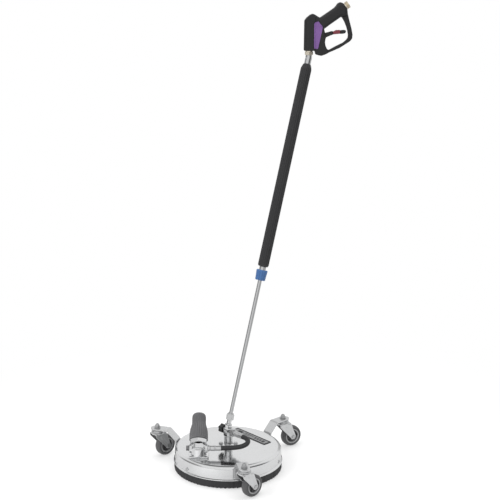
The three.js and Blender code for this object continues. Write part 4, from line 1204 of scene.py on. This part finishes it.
def build_world():
    """White to the camera, a soft grey fill, and white with dim cards to reflections."""
    world = bpy.data.worlds.new("studio")
    bpy.context.scene.world = world
    world.use_nodes = True
    tree = world.node_tree
    tree.nodes.clear()
    ray = node(tree, "ShaderNodeLightPath").outputs
    white = node(tree, "ShaderNodeBackground", {"Color": WHITE, "Strength": 1.0})
    fill = node(tree, "ShaderNodeBackground", {"Color": WHITE, "Strength": 0.80})
    direction = node(tree, "ShaderNodeTexCoord").outputs["Generated"]
    cards = []
    for aim, core, rim, brightness in DIM_CARDS:
        dot = node(tree, "ShaderNodeVectorMath", {0: direction, 1: Vector(aim).normalized()},
                   operation="DOT_PRODUCT")
        cards.append(map_range(tree, dot.outputs["Value"], (rim, core), (1.0, brightness),
                               interpolation_type="SMOOTHSTEP"))
    level = cards[0]
    for card in cards[1:]:
        level = node(tree, "ShaderNodeMath", {0: level, 1: card},
                     operation="MULTIPLY").outputs[0]
    studio = node(tree, "ShaderNodeBackground", {"Color": level, "Strength": 1.0})
    unseen = node(tree, "ShaderNodeMixShader",
                  {0: ray["Is Glossy Ray"], 1: fill.outputs[0], 2: studio.outputs[0]})
    seen = node(tree, "ShaderNodeMixShader",
                {0: ray["Is Camera Ray"], 1: unseen.outputs[0], 2: white.outputs[0]})
    node(tree, "ShaderNodeOutputWorld", {0: seen.outputs[0]})


build_world()


# ---------------------------------------------------------------- floor
def floor_material():
    """Matt near the origin and glowing beyond it; white to the camera.

    Other rays see the glow dimmer, with a brighter pool on the -Y side of the deck.
    """
    material = bpy.data.materials.new("floor")
    material.use_nodes = True
    tree = material.node_tree
    matt = tree.nodes["Principled BSDF"]
    matt.inputs["Base Color"].default_value = (0.93, 0.93, 0.93, 1)
    matt.inputs["Roughness"].default_value = 0.9
    matt.inputs["Specular IOR Level"].default_value = 0.0
    position = node(tree, "ShaderNodeNewGeometry").outputs["Position"]
    from_origin = node(tree, "ShaderNodeVectorMath", {0: position}, operation="LENGTH")
    fade = map_range(tree, from_origin.outputs["Value"], (0.35, 1.1), (0.45, 1.0),
                     interpolation_type="SMOOTHSTEP")
    from_pool = node(tree, "ShaderNodeVectorMath", {0: position, 1: (0.098, -0.435, 0.0)},
                     operation="DISTANCE")
    pool = map_range(tree, from_pool.outputs["Value"], (0.0, 0.20), (1.35, 0.66),
                     interpolation_type="SMOOTHSTEP")
    camera_ray = node(tree, "ShaderNodeLightPath").outputs["Is Camera Ray"]
    strength = node(tree, "ShaderNodeMix", {0: camera_ray, 2: pool, 3: 1.0},
                    data_type="FLOAT")
    glow = node(tree, "ShaderNodeEmission", {"Color": WHITE, "Strength": strength.outputs[0]})
    mix = node(tree, "ShaderNodeMixShader", {0: fade, 1: matt.outputs[0], 2: glow.outputs[0]})
    tree.links.new(mix.outputs[0], tree.nodes["Material Output"].inputs[0])
    return material


surround = floor_material()
floor_mesh = bpy.data.meshes.new("floor")
floor_mesh.from_pydata([(-9, -9, 0), (9, -9, 0), (9, 9, 0), (-9, 9, 0)], [], [(0, 1, 2, 3)])
floor_mesh.materials.append(surround)
floor = bpy.data.objects.new("floor", floor_mesh)
bpy.context.scene.collection.objects.link(floor)

# ---------------------------------------------------------------- lights
LIGHTS = [   # name, place and target in metres, size in metres, power in watts
    ("key", (-0.6, -3.2, 2.9), (0, 0, 0.4), (1.8, 1.8), 60),
    ("top", (0.2, 0.3, 3.6), (0, 0, 0), (2.4, 2.4), 40),
    ("rim", (-2.6, 2.0, 1.8), (0, 0, 0.6), (1.2, 2.2), 24)]
for name, place, target, size, power in LIGHTS:
    light = bpy.data.lights.new(name, "AREA")
    light.shape = "RECTANGLE"
    light.size, light.size_y = size
    light.energy = power
    lamp = bpy.data.objects.new(name, light)
    lamp.location = place
    lamp.rotation_euler = (Vector(target) - Vector(place)).to_track_quat("-Z", "Y").to_euler()
    lamp.visible_glossy = False
    bpy.context.scene.collection.objects.link(lamp)

# ---------------------------------------------------------------- camera
CAMERA_PLACE = (2.245488, -2.104778, 1.330682)
AZIMUTH = math.radians(47.37834)     # from -Y towards +X
ELEVATION = math.radians(13.32243)
ROLL = math.radians(0.48693)

camera = bpy.data.objects.new("camera", bpy.data.cameras.new("camera"))
bpy.context.scene.collection.objects.link(camera)
back = Vector((math.sin(AZIMUTH) * math.cos(ELEVATION), -math.cos(AZIMUTH) * math.cos(ELEVATION),
               math.sin(ELEVATION)))
level_right = Vector((math.cos(AZIMUTH), math.sin(AZIMUTH), 0))
level_up = back.cross(level_right)
right = level_right * math.cos(ROLL) + level_up * math.sin(ROLL)
up = -level_right * math.sin(ROLL) + level_up * math.cos(ROLL)
camera.matrix_world = Matrix([*zip(right, up, back, CAMERA_PLACE), (0, 0, 0, 1)])
camera.data.sensor_width = 36
camera.data.lens = 83.20467456
camera.data.clip_end = 60
bpy.context.scene.camera = camera
bpy.context.scene.view_settings.view_transform = "Standard"
